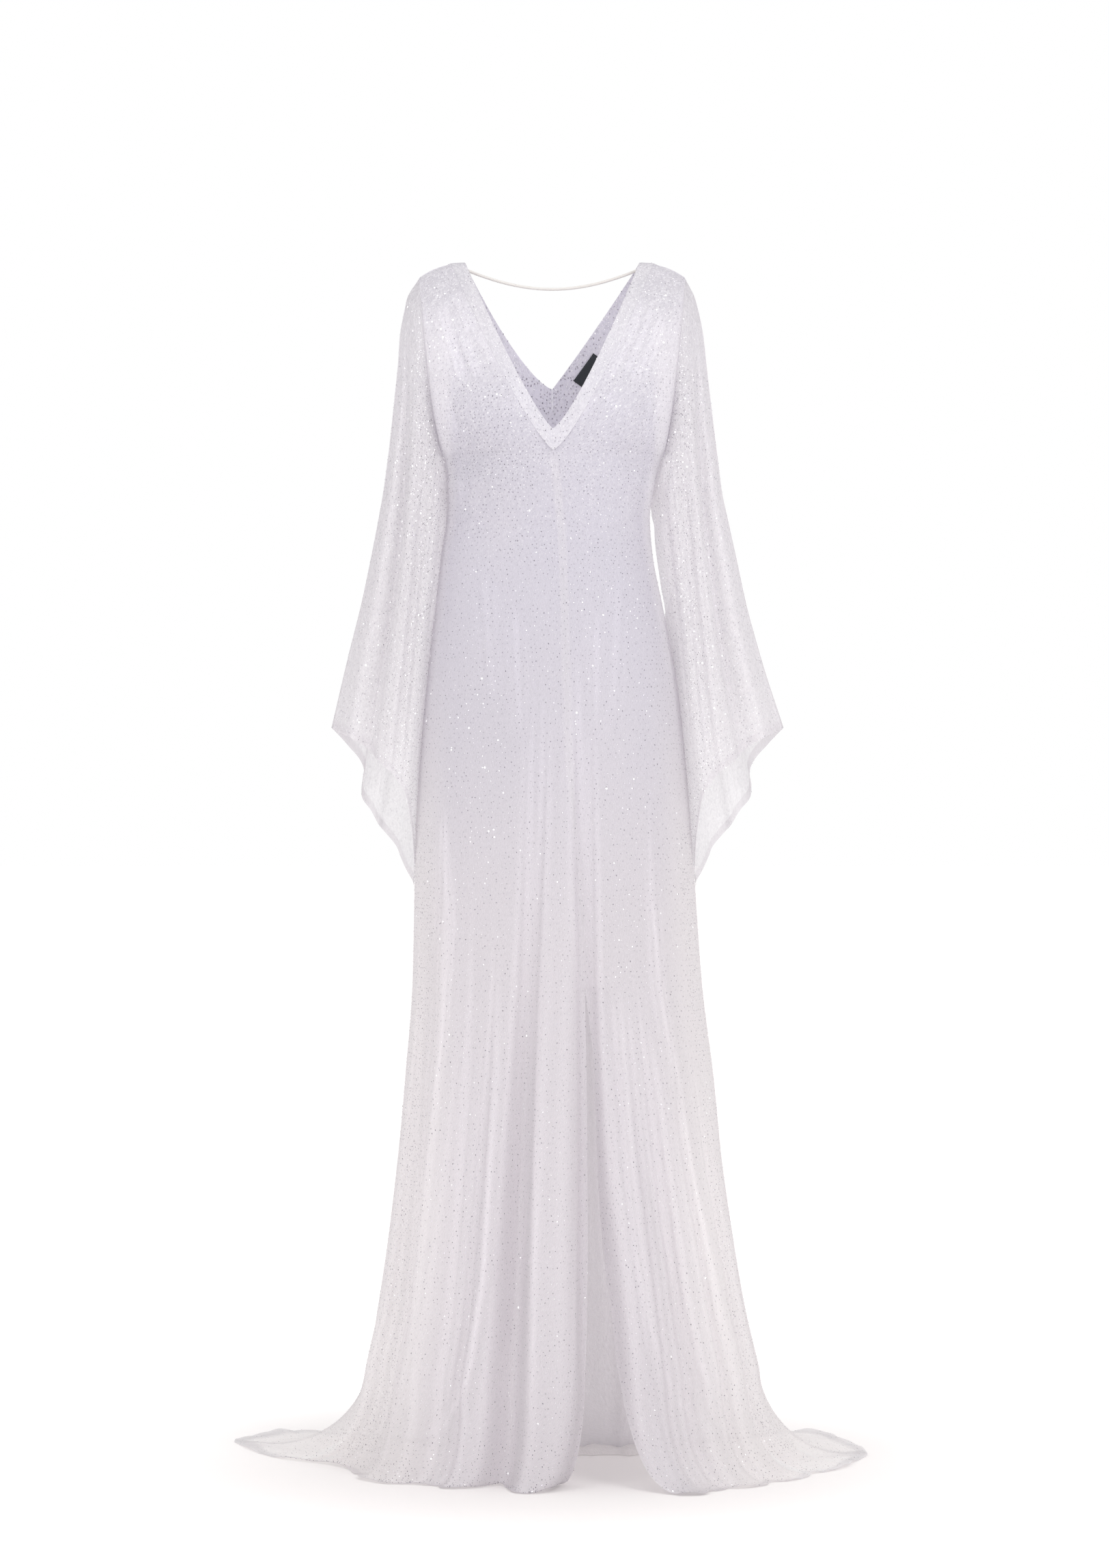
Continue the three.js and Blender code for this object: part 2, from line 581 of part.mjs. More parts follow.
// A point of the wearer's left sleeve, kept just clear of the body on the side it is for.
function sleevePoint(angle, along, side) {
  const turn = angle * DEGREES;
  const at = Math.min(1, Math.max(0, along));
  const rise = (1 + Math.cos(turn)) / 2;
  const start = armholePoint(rise, Math.sin(turn) > 0 ? -1 : 1);
  const cuff = (column) => readTable(CUFF_POINTS, 'angle', column, ((angle % 360) + 360) % 360);
  const bow = (column) => readTable(SLEEVE_BOW, 'along', column, at);
  const bowed = rise ** 2 * bow(side < 0 ? 'right' : 'left') + (1 - rise) ** 2 * bow('under');
  let push = 0;
  for (const fold of SLEEVE_FOLDS) {
    push += fold.depth * foldShape(wrapAngle(angle - fold.angle), fold.reach, fold.reach);
  }
  push *= easeBetween(0.04, 0.55, at) * mix(1, 0.6, easeBetween(0.8, 1, at));
  const lap = WALL + SEAM_GAP;
  const z = mix(start.z, cuff('height'), at);
  const tuck = sleeveTuck(angle, at, side) * easeBetween(UNDERARM_HEIGHT, UNDERARM_HEIGHT - 60, z);
  const x = mix(start.x + lap, cuff('x'), at) + bowed + push * Math.cos(turn) - tuck;
  const y = mix(start.y * (1 + lap / ARMHOLE_HALF_DEPTH), cuff('y'), at) - push * Math.sin(turn);
  const beside = z < UNDERARM_HEIGHT + 1 ? bodyReach(Math.min(z, UNDERARM_HEIGHT), y, side) : 0;
  return new THREE.Vector3(Math.max(x, beside + CLEAR_OF_BODY), y, z);
}

function sleeve(side) {
  const points = [];
  const place = (angle, along) => sleevePoint(angle, along, side);
  const sheet = SLEEVE_ROWS.map((along) => {
    const keys = [];
    for (let j = 0; j < SLEEVE_COLUMNS; j += 1) {
      const made = clothPoint(place, (360 * j) / SLEEVE_COLUMNS, along, 4, 0.02);
      keys.push(points.push(side < 0 ? mirrorAcross(made) : made) - 1);
    }
    keys.push(keys[0]);
    return side > 0 ? keys : keys.reverse();
  });
  return clothSolid(points, [sheet]);
}

// The strap that holds the shoulders together. Its ends are sewn inside the back band.
function neckStrap() {
  const sewn = neckEdge(BACK_NECK, 1, STRAP_RISE, 0);
  const seat = yokePoint(sewn.x + STRAP_LAP, sewn.height, 1);
  const end = seat.point.addScaledVector(seat.normal, -WALL / 2 - STRAP_SEAT - STRAP_DIAMETER / 2);
  const route = [];
  for (let k = 0; k <= 12; k += 1) {
    const t = -1 + (2 * k) / 12;
    const hang = 1 - t * t;
    const height = end.z - STRAP_SAG * hang;
    route.push(new THREE.Vector3(t * end.x, end.y + STRAP_BOW * hang ** 2, height));
  }
  const round = new THREE.Shape().absarc(0, 0, STRAP_DIAMETER / 2, 0, 2 * Math.PI);
  const strap = new THREE.ExtrudeGeometry(round, {
    steps: STRAP_STEPS,
    curveSegments: STRAP_ARC_SEGMENTS,
    extrudePath: new THREE.CatmullRomCurve3(route),
  });
  return settle(strap);
}

// A bare label sewn inside the back, beside the V on the wearer's left.
function neckLabel() {
  const low = neckEdge(BACK_NECK, 1, LABEL_RISE, 1);
  const high = neckEdge(BACK_NECK, 1, LABEL_RISE + 0.2, 1);
  const lengthways = new THREE.Vector2(high.x - low.x, high.height - low.height).normalize();
  const sideways = new THREE.Vector2(lengthways.y, -lengthways.x);
  const inward = WALL / 2 + 2 * SEAM_GAP + LABEL_THICKNESS / 2;
  const rows = [];
  for (let i = 0; i <= 5; i += 1) {
    const row = [];
    for (let j = 0; j <= 2; j += 1) {
      const up = (LABEL_LENGTH * i) / 5;
      const out = LABEL_INSET + (LABEL_WIDTH * j) / 2;
      const x = low.x + lengthways.x * up + sideways.x * out;
      const height = low.height + lengthways.y * up + sideways.y * out;
      const made = yokePoint(x, height, 1);
      made.point.addScaledVector(made.normal, -inward);
      row.push(made);
    }
    rows.push(row.reverse());
  }
  const points = [];
  return clothSolid(points, [addRows(points, rows)], LABEL_THICKNESS);
}

const glitterKnit = new THREE.MeshStandardMaterial({ color: 0xd9d5dc, roughness: 0.55, metalness: 0 });
const doubledKnit = new THREE.MeshStandardMaterial({ color: 0xe6e6eb, roughness: 0.6, metalness: 0 });
const rouleau = new THREE.MeshStandardMaterial({ color: 0xf0e8de, roughness: 0.45, metalness: 0 });
const wovenTape = new THREE.MeshStandardMaterial({ color: 0x15181c, roughness: 0.6, metalness: 0 });

const gown = new THREE.Group();

function addPiece(name, geometry, material) {
  const piece = new THREE.Mesh(geometry, material);
  piece.name = name;
  gown.add(piece);
}

addPiece('front_right', frontPanel(-1), glitterKnit);
addPiece('front_left', frontPanel(1), glitterKnit);
addPiece('back', backPanel(), glitterKnit);
addPiece('sleeve_right', sleeve(-1), glitterKnit);
addPiece('sleeve_left', sleeve(1), glitterKnit);
addPiece('neckband_front_right', neckBand(FRONT_NECK, -1), doubledKnit);
addPiece('neckband_front_left', neckBand(FRONT_NECK, 1), doubledKnit);
addPiece('neckband_back_right', neckBand(BACK_NECK, -1), doubledKnit);
addPiece('neckband_back_left', neckBand(BACK_NECK, 1), doubledKnit);
addPiece('neck_strap', neckStrap(), rouleau);
addPiece('label', neckLabel(), wovenTape);

export default gown;
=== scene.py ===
# %% [markdown]
# # A sheer glitter kaftan gown
# This lesson dresses a packed gown in cloth. The gown is a fine white knit with small sequins all
# over it, worn open to the floor, with a V in front and behind, wide sleeves and a front slit.
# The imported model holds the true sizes, so every piece here is worked out from the same tables
# and laid on the same form, in metres, with the shoulders at the origin.

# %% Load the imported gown
import math

import bpy
import numpy as np
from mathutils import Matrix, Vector


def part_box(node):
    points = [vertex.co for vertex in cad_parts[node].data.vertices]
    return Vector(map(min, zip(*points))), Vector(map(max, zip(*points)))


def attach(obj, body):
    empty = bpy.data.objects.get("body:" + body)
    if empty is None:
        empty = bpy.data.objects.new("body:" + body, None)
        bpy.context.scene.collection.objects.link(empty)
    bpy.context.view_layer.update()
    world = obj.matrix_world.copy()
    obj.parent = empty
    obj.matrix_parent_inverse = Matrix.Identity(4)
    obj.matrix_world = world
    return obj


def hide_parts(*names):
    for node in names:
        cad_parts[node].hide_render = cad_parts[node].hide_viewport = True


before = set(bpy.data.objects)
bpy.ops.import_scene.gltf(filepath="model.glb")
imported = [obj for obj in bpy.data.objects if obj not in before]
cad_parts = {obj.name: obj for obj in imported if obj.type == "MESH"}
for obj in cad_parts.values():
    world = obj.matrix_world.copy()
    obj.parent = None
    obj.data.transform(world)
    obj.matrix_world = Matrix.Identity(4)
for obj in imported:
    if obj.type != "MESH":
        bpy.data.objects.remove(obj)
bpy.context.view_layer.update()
SHOULDER_HEIGHT = 1565.0
FLOOR_Z = -SHOULDER_HEIGHT / 1000
print("nodes:", ", ".join(sorted(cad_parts)))

# %% [markdown]
# ## The camera
# The gown is seen straight on from the front. A long lens well back keeps the hem and the
# shoulders in true proportion, which a short lens close up would not. The camera stays level and
# looks along +Y, a little above the middle of the gown.

# %% Camera
PICTURE_HEIGHT = 2296
FOCAL_IN_PIXELS = 6111
SENSOR = 36
CAMERA_AWAY, CAMERA_ABOVE_FLOOR = 5.5, 0.9
camera_data = bpy.data.cameras.new("front_camera")
camera_data.sensor_width = SENSOR
camera_data.lens = SENSOR * FOCAL_IN_PIXELS / PICTURE_HEIGHT
camera = bpy.data.objects.new("front_camera", camera_data)
camera.location = (0, -CAMERA_AWAY, CAMERA_ABOVE_FLOOR + FLOOR_Z)
camera.rotation_euler = (math.pi / 2, 0, 0)
bpy.context.scene.collection.objects.link(camera)
bpy.context.scene.camera = camera
print("lens", round(camera_data.lens, 1), "mm")

# %% [markdown]
# ## The strap
# A thin rolled strap joins the shoulders across the back of the neck. It is a real cord: it has
# one length and sags between its two sewn ends. A curve with a round bevel is the plain way to
# make it, because its length and its bend can then be read off the curve.

# %% Satin for the strap
def new_material(name):
    material = bpy.data.materials.new(name)
    material.use_nodes = True
    nodes = material.node_tree.nodes
    return material, nodes, material.node_tree.links, nodes["Principled BSDF"]


def add_bump(nodes, links, shader, height, strength, distance):
    """Raises a fine grain on the surface, as high as a texture is bright."""
    bump = nodes.new("ShaderNodeBump")
    bump.inputs["Strength"].default_value = strength
    bump.inputs["Distance"].default_value = distance
    links.new(height, bump.inputs["Height"])
    links.new(bump.outputs["Normal"], shader.inputs["Normal"])
    return bump


def make_rouleau():
    """Off-white rolled satin: a soft sheen, with a faint slanted grain from the bias cut."""
    material, nodes, links, shader = new_material("rouleau")
    shader.inputs["Roughness"].default_value = 0.42
    shader.inputs["Sheen Weight"].default_value = 0.25
    place = nodes.new("ShaderNodeTexCoord")
    grain = nodes.new("ShaderNodeTexNoise")
    grain.inputs["Scale"].default_value = 700
    grain.inputs["Detail"].default_value = 4
    tint = nodes.new("ShaderNodeMix")
    tint.data_type = "RGBA"
    tint.inputs[6].default_value = (0.70, 0.672, 0.645, 1)
    tint.inputs[7].default_value = (0.79, 0.762, 0.735, 1)
    links.new(place.outputs["Object"], grain.inputs["Vector"])
    links.new(grain.outputs["Fac"], tint.inputs[0])
    links.new(tint.outputs[2], shader.inputs["Base Color"])
    add_bump(nodes, links, shader, grain.outputs["Fac"], strength=0.3, distance=0.0004)
    return material


rouleau = make_rouleau()
print("material:", rouleau.name)

# %% The strap's route
STRAP_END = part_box("neck_strap")[1].x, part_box("neck_strap")[0].x
STRAP = {"end_y": 0.0051, "end_z": 0.0156, "sag": 0.025, "bow": 0.026, "diameter": 0.004}


def strap_route(steps=28):
    middle, half = sum(STRAP_END) / 2, (STRAP_END[0] - STRAP_END[1]) / 2
    for k in range(steps + 1):
        across = -1 + 2 * k / steps
        hang = 1 - across * across
        yield (
            middle + across * half,
            STRAP["end_y"] + STRAP["bow"] * hang**2,
            STRAP["end_z"] - STRAP["sag"] * hang,
        )


def round_curve(name, points, radius, material, sides):
    curve = bpy.data.curves.new(name, "CURVE")
    curve.dimensions = "3D"
    curve.bevel_depth = radius
    curve.bevel_resolution = sides
    curve.use_fill_caps = True
    spline = curve.splines.new("POLY")
    spline.points.add(len(points) - 1)
    for knot, point in zip(spline.points, points):
        knot.co = (*point, 1)
    piece = bpy.data.objects.new(name, curve)
    piece.data.materials.append(material)
    bpy.context.scene.collection.objects.link(piece)
    return piece


route = list(strap_route())
strap = round_curve("rolled_strap", route, STRAP["diameter"] / 2, rouleau, 4)
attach(strap, "root")
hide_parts("neck_strap")

# %% [markdown]
# ## The cut of the gown
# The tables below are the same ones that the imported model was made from, in millimetres, with
# heights above the floor. Keeping them here means the cloth can be worked out as finely as we
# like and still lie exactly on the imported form.

# %% Tables of the form
def table(names, rows):
    return dict(zip(names.split(), np.array(rows, float).T))


BODY = table("height right left front back seam", [
    (133, 246, 269, 163, 112, 50), (214, 227, 250, 157, 110, 38), (295, 217, 237, 150, 107, 28),
    (403, 206, 221, 142, 104, 16), (511, 197, 210, 134, 102, 9), (640, 187, 194, 127, 104, 4),
    (780, 184, 184, 120, 111, 2), (934, 179, 172, 113, 119, 2), (1041, 170, 160, 107, 115, 2),
    (1131, 158, 143, 100, 98, 0), (1204, 149, 129, 96, 80, 0), (1249, 141, 126, 98, 73, 0),
    (1290, 139, 132, 107, 78, 0), (1330, 143, 143, 117, 88, 0),
])
HEM = table("angle x y", [
    (-180, 0, 108), (-160, -105, 145), (-140, -235, 235), (-120, -352, 286), (-105, -412, 262),
    (-90, -438, 211), (-75, -378, 92), (-60, -292, -18), (-48, -236, -88), (-35, -186, -136),
    (-21, -128, -160), (-8, -62, -163), (2, -22, -172), (7, 12, -166), (18, 152, -196),
    (30, 200, -186), (43, 250, -146), (57, 305, -92), (75, 383, 10), (90, 420, 103),
    (105, 396, 222), (120, 346, 284), (140, 232, 225), (160, 105, 140), (180, 0, 108),
])
SEAM = table("height angle", [
    (133, 6.8), (214, 8), (403, 9.3), (640, 9.6), (780, 7.5), (980, 4), (1126, 3.6), (1220, 3),
    (1276, 1.4), (1331, 0),
])
SLIT = table("height angle", [
    (0, 18), (98, 15.9), (150, 14.4), (200, 14.1), (317, 12.6), (466, 12), (545, 11.8), (640, 9.6),
])
CUFF = table("angle x y height", [
    (0, 300, 0, 974), (24, 267, -33, 959), (45, 252, -30, 946), (66, 233, -50, 930),
    (90, 214, -58, 913), (115, 201, -54, 893), (140, 193, -42, 858), (162, 189, -22, 812),
    (180, 189, 4, 766), (200, 200, 28, 785), (225, 213, 50, 813), (250, 233, 60, 840),
    (275, 246, 60, 863), (300, 259, 52, 886), (320, 260, 36, 916), (340, 276, 22, 947),
    (360, 300, 0, 974),
])
BOW = table("along right left under", [
    (0, 0, 0, 0), (0.05, 11, 8, -8), (0.1, 11, 9, -15), (0.2, 4, 4, -20), (0.3, -2, -2, -17),
    (0.4, -7, -8, -14), (0.5, -10, -13, -11), (0.7, -11, -13, -9), (0.85, -8, -8, -7),
    (1, -6, 2, -5),
])
print("tables:", len(BODY["height"]), "body sections,", len(HEM["angle"]), "hem points")

# %% Reading a table on a smooth curve
def read(rows, key, column, at):
    keys, values = rows[key], rows[column]
    at = np.clip(np.asarray(at, float), keys[0], keys[-1])
    i = np.clip(np.searchsorted(keys, at, side="right") - 1, 0, len(keys) - 2)
    span = np.diff(keys)
    slope = np.diff(values) / span
    product, total = slope[:-1] * slope[1:], slope[:-1] + slope[1:]
    steady = np.where(product > 0, 2 * product / np.where(total == 0, 1, total), 0)
    slopes = np.concatenate([slope[:1], steady, slope[-1:]])
    t = (at - keys[i]) / span[i]
    return (
        values[i] * (2 * t**3 - 3 * t**2 + 1)
        + slopes[i] * span[i] * (t**3 - 2 * t**2 + t)
        + values[i + 1] * (3 * t**2 - 2 * t**3)
        + slopes[i + 1] * span[i] * (t**3 - t**2)
    )


def mix(a, b, t):
    return a + (b - a) * t


def ease(low, high, value):
    t = np.clip((value - low) / (high - low), 0, 1)
    return t * t * (3 - 2 * t)


def wrap(angle):
    return (angle + 180) % 360 - 180


def fold_shape(offset, before, after):
    q = np.abs(offset / np.where(offset < 0, before, after))
    return np.where(q >= 1, 0, (1 - np.minimum(q, 1) ** 3) ** 2)


print("half width on the left at the waist:", read(BODY, "height", "left", 1249).round(1), "mm")

# %% [markdown]
# ## Folds
# A soft skirt falls in a few deep folds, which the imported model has, and in many slight ones
# between them, which it leaves to us. Each row below is one fold: its angle at the top and at the
# foot, the height where it dies away, its reach on either side in degrees, and how far it stands
# out at the hem. No two are alike, because even folds look like a lampshade and not like cloth.

# %% Deep folds of the skirt
SKIRT_FOLDS = [
    (1.5, -1.5, 1130, 9, 8, 42), (-3, -10.5, 1150, 7, 6, -16), (9.6, 8, 1130, 4, 6, -24),
    (-18, -22, 760, 4, 10, 17), (-46, -47, 880, 5, 15, 24), (-62, -62, 820, 10, 9, -16),
    (-78, -76, 620, 8, 8, 8), (17, 20, 640, 7, 9, 34), (24, 29, 700, 6, 7, 8),
    (36, 42, 690, 7, 9, 18), (51, 56, 600, 7, 8, 16), (70, 71, 560, 8, 8, 11),
    (118, 120, 760, 13, 13, 18), (146, 147, 900, 13, 13, 22), (175, 174, 840, 14, 14, 20),
    (-151, -152, 880, 12, 12, 21), (-122, -121, 740, 13, 13, 18),
]
FOLD_FULL_HEIGHT = 150


def folded(folds, height, angle):
    push = 0
    for top, foot, start, before, after, depth in folds:
        rise = ease(FOLD_FULL_HEIGHT, start, height)
        away = wrap(angle - mix(foot, top, rise))
        push = push + depth * (1 - rise) * fold_shape(away, before, after)
    return push


print("the centre fold stands out", SKIRT_FOLDS[0][-1], "mm at the hem")

# %% Slight folds between them
SLIGHT_FOLDS = [
    (-9, -15, 1040, 2.2, 3.6, 5.0), (-25, -31, 800, 3, 3.5, 4.2),
    (-35, -40, 700, 2.6, 2.0, 4.6),
    (-53, -54, 610, 2.5, 3.4, 4.5), (-66, -67, 560, 2.5, 3, 5.0),
    (-82, -83, 470, 2.5, 3, 4.5),
    (14, 16.5, 500, 1.6, 2.4, 4.0), (28, 33, 760, 2.0, 2.4, 4.0),
    (40, 46, 640, 2.4, 2.6, 4.0),
    (57, 61, 560, 2.6, 2.8, 4.5), (76, 78, 520, 2.6, 3.0, 4.5),
    (82, 84, 360, 2.0, 2.6, -3.5), (96, 97, 540, 3, 3.4, 4.5), (103, 104, 420, 2.4, 3, -4.0),
    (110, 111, 700, 3.2, 2.6, 5.0), (127, 128, 620, 2.6, 3.4, -5.0), (134, 136, 840, 3.4, 3, 4.5),
    (141, 141, 500, 2.2, 3, -4.5), (154, 156, 760, 3.2, 3.6, 5.0), (161, 162, 560, 3, 2.4, -5.0),
    (167, 167, 900, 3.4, 3, 4.0), (182, 181, 620, 3, 3.4, -5.0), (189, 188, 820, 3.6, 3, 4.5),
    (196, 197, 520, 2.6, 3.2, -5.0), (203, 203, 940, 3.2, 3.6, 4.5), (217, 216, 640, 3, 2.8, -5.0),
    (224, 225, 780, 3.4, 3, 5.0), (232, 232, 500, 2.4, 3.2, -4.5), (246, 247, 700, 3, 3.4, 4.5),
    (253, 253, 420, 2.6, 2.4, -4.0), (262, 262, 560, 3, 3, 4.0),
]
# The slight folds stand out by this share of the depths above.
SOFTER = 0.34
print(len(SKIRT_FOLDS), "deep folds and", len(SLIGHT_FOLDS), "slight ones")

# %% [markdown]
# ## The body of the gown
# Below the underarm the gown is a soft tube whose sections change from waist to hem, and near the
# floor it sweeps out and lies on it. Above the underarm it is a yoke that curves over to the
# shoulder. These are plain functions of an angle and a height, so they can be read at any point.

# %% Body sections and the sweep on the floor
SECTION_POWER = 2.3
FLARE_HEIGHT = 133.0
# The powers by which the cloth spreads and drops near the floor, and how high it rests on it.
SWEEP = {"spread": 1.5, "drop": 2.2, "rest": 1.2}
BUST = {"height": 1392, "offset": 76, "across": 52, "up": 58, "depth": 13, "fade": 4}


def body_half(height, side):
    """Half the body's width: the wearer's right where side is below 0, and else the left."""
    return np.where(side < 0, read(BODY, "height", "right", height), read(BODY, "height", "left", height))


def body_section(height, angle):
    turn = np.radians(wrap(angle))
    across, along = np.sin(turn), np.cos(turn)
    power = 2 / SECTION_POWER
    half = body_half(height, across)
    seam = read(BODY, "height", "seam", height)
    front, back = read(BODY, "height", "front", height), read(BODY, "height", "back", height)
    depth = np.where(along > 0, front + seam, back - seam)
    x = half * np.sign(across) * np.abs(across) ** power
    y = seam - depth * np.sign(along) * np.abs(along) ** power
    out_x, out_y = x / half**2, (y - seam) / depth**2
    length = np.hypot(out_x, out_y)
    return x, y, out_x / length, out_y / length


def bust_push(x, height):
    across = (np.abs(x) - BUST["offset"]) / BUST["across"]
    up = (height - BUST["height"]) / BUST["up"]
    return BUST["depth"] * np.exp(-(across**2) - up**2)


def all_folds(height, angle):
    return folded(SKIRT_FOLDS, height, angle) + SOFTER * folded(SLIGHT_FOLDS, height, angle)


def body_point(angle, height):
    x, y, out_x, out_y = body_section(height, angle)
    push = all_folds(height, angle)
    y = y + out_y * push
    y = y - np.where(y < 0, bust_push(x, height), 0)
    return np.stack(np.broadcast_arrays(x + out_x * push, y, height * 1.0), axis=-1)


def sweep_point(angle, sweep):
    x, y, out_x, out_y = body_section(FLARE_HEIGHT, angle)
    push = all_folds(FLARE_HEIGHT, angle)
    spread_out = sweep ** SWEEP["spread"]
    x = mix(x, read(HEM, "angle", "x", wrap(angle)), spread_out) + out_x * push
    y = mix(y, read(HEM, "angle", "y", wrap(angle)), spread_out) + out_y * push
    height = SWEEP["rest"] + (FLARE_HEIGHT - SWEEP["rest"]) * (1 - sweep) ** SWEEP["drop"]
    return np.stack(np.broadcast_arrays(x, y, height), axis=-1)


print("front of the hem:", sweep_point(np.array(0.0), np.array(1.0)).round(0))

# %% The yoke
NECK_POINT_HEIGHT, NECK_HALF_WIDTH, BAND_WIDTH = 1587.0, 115.0, 19.0
UNDERARM_HEIGHT, UNDERARM_HALF_WIDTH = 1330.0, 143.0
SHOULDER_TIP_HEIGHT, SHOULDER_TIP_HALF_WIDTH = 1567.0, 174.0
ARMHOLE_HALF_DEPTH = 48.0
ARMHOLE_LEAN = 0.6
SHOULDER_DROP = 8
CHEST_CURVE, BLADE_CURVE = (1.9, 0.75), (2.6, 0.6)
LEAST_DEPTH = 0.1


def armhole_point(rise, face):
    x = mix(UNDERARM_HALF_WIDTH, SHOULDER_TIP_HALF_WIDTH, rise**ARMHOLE_LEAN)
    y = face * ARMHOLE_HALF_DEPTH * np.sqrt(np.maximum(0, 1 - (2 * rise - 1) ** 2))
    return x, y, mix(UNDERARM_HEIGHT, SHOULDER_TIP_HEIGHT, rise)


def shoulder_height(x):
    run = SHOULDER_TIP_HALF_WIDTH - NECK_HALF_WIDTH
    t = np.clip((np.abs(x) - NECK_HALF_WIDTH) / run, 0, 1)
    rounding = NECK_POINT_HEIGHT - SHOULDER_TIP_HEIGHT - SHOULDER_DROP
    return NECK_POINT_HEIGHT - SHOULDER_DROP * t - rounding * t**3


def yoke_depth(x, height, face):
    rise = np.clip((height - UNDERARM_HEIGHT) / (shoulder_height(x) - UNDERARM_HEIGHT), 0, 1)
    lowest_front, lowest_back = BODY["front"][-1], BODY["back"][-1]
    chest = lowest_front * (1 - rise ** CHEST_CURVE[0]) ** CHEST_CURVE[1]
    blade = lowest_back * (1 - rise ** BLADE_CURVE[0]) ** BLADE_CURVE[1]
    arm_x, arm_y, _ = armhole_point(rise, face)
    edge = np.abs(arm_y)
    bulge = (1 - np.minimum(1, np.abs(x) / arm_x) ** SECTION_POWER) ** (1 / SECTION_POWER)
    centre = np.maximum(chest if face < 0 else blade, edge)
    bust = bust_push(x, height) * np.minimum(1, BUST["fade"] * (1 - rise)) if face < 0 else 0
    return mix(edge, centre, bulge) + bust


print("shoulder tip:", shoulder_height(SHOULDER_TIP_HALF_WIDTH), "mm above the floor")


# %% The neck edges
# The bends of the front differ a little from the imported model's, to follow the real neckline.
FRONT_NECK = {"face": -1, "tip": 1359.0, "band_tip": 1331.0, "right": 0.82, "left": 0.76}
BACK_NECK = {"face": 1, "tip": 1428.0, "band_tip": 1401.0, "right": 0.72, "left": 0.97}
SEAM_BEND = 0.97


def neck_edge(neck, side, rise, across):
    bend = neck["right"] if side < 0 else neck["left"]
    edge_x = NECK_HALF_WIDTH * rise**bend
    seam_x = (NECK_HALF_WIDTH + BAND_WIDTH) * rise ** (bend * SEAM_BEND)
    edge_height = mix(neck["tip"], NECK_POINT_HEIGHT, rise)
    seam_height = mix(neck["band_tip"], NECK_POINT_HEIGHT - 1, rise)
    return mix(edge_x, seam_x, across), mix(edge_height, seam_height, across)


def yoke_rows(neck, side, rises, shares, tip_rise=0.0):
    """Rows of the yoke on the wearer's left, from the neck seam out to the armhole."""
    rows = []
    for neck_rise in rises:
        inner_x, inner_height = neck_edge(neck, side, neck_rise, 1)
        rise = mix(tip_rise, 1, neck_rise)
        arm_x, _, arm_height = armhole_point(np.float64(rise), neck["face"])
        x = mix(inner_x, arm_x, shares)
        height = mix(inner_height, arm_height, shares)
        depth = np.maximum(yoke_depth(x, height, neck["face"]), LEAST_DEPTH)
        rows.append(np.stack([x, neck["face"] * depth, height], axis=-1))
    return np.array(rows)


print("front V is", round(NECK_POINT_HEIGHT - FRONT_NECK["tip"]), "mm deep")
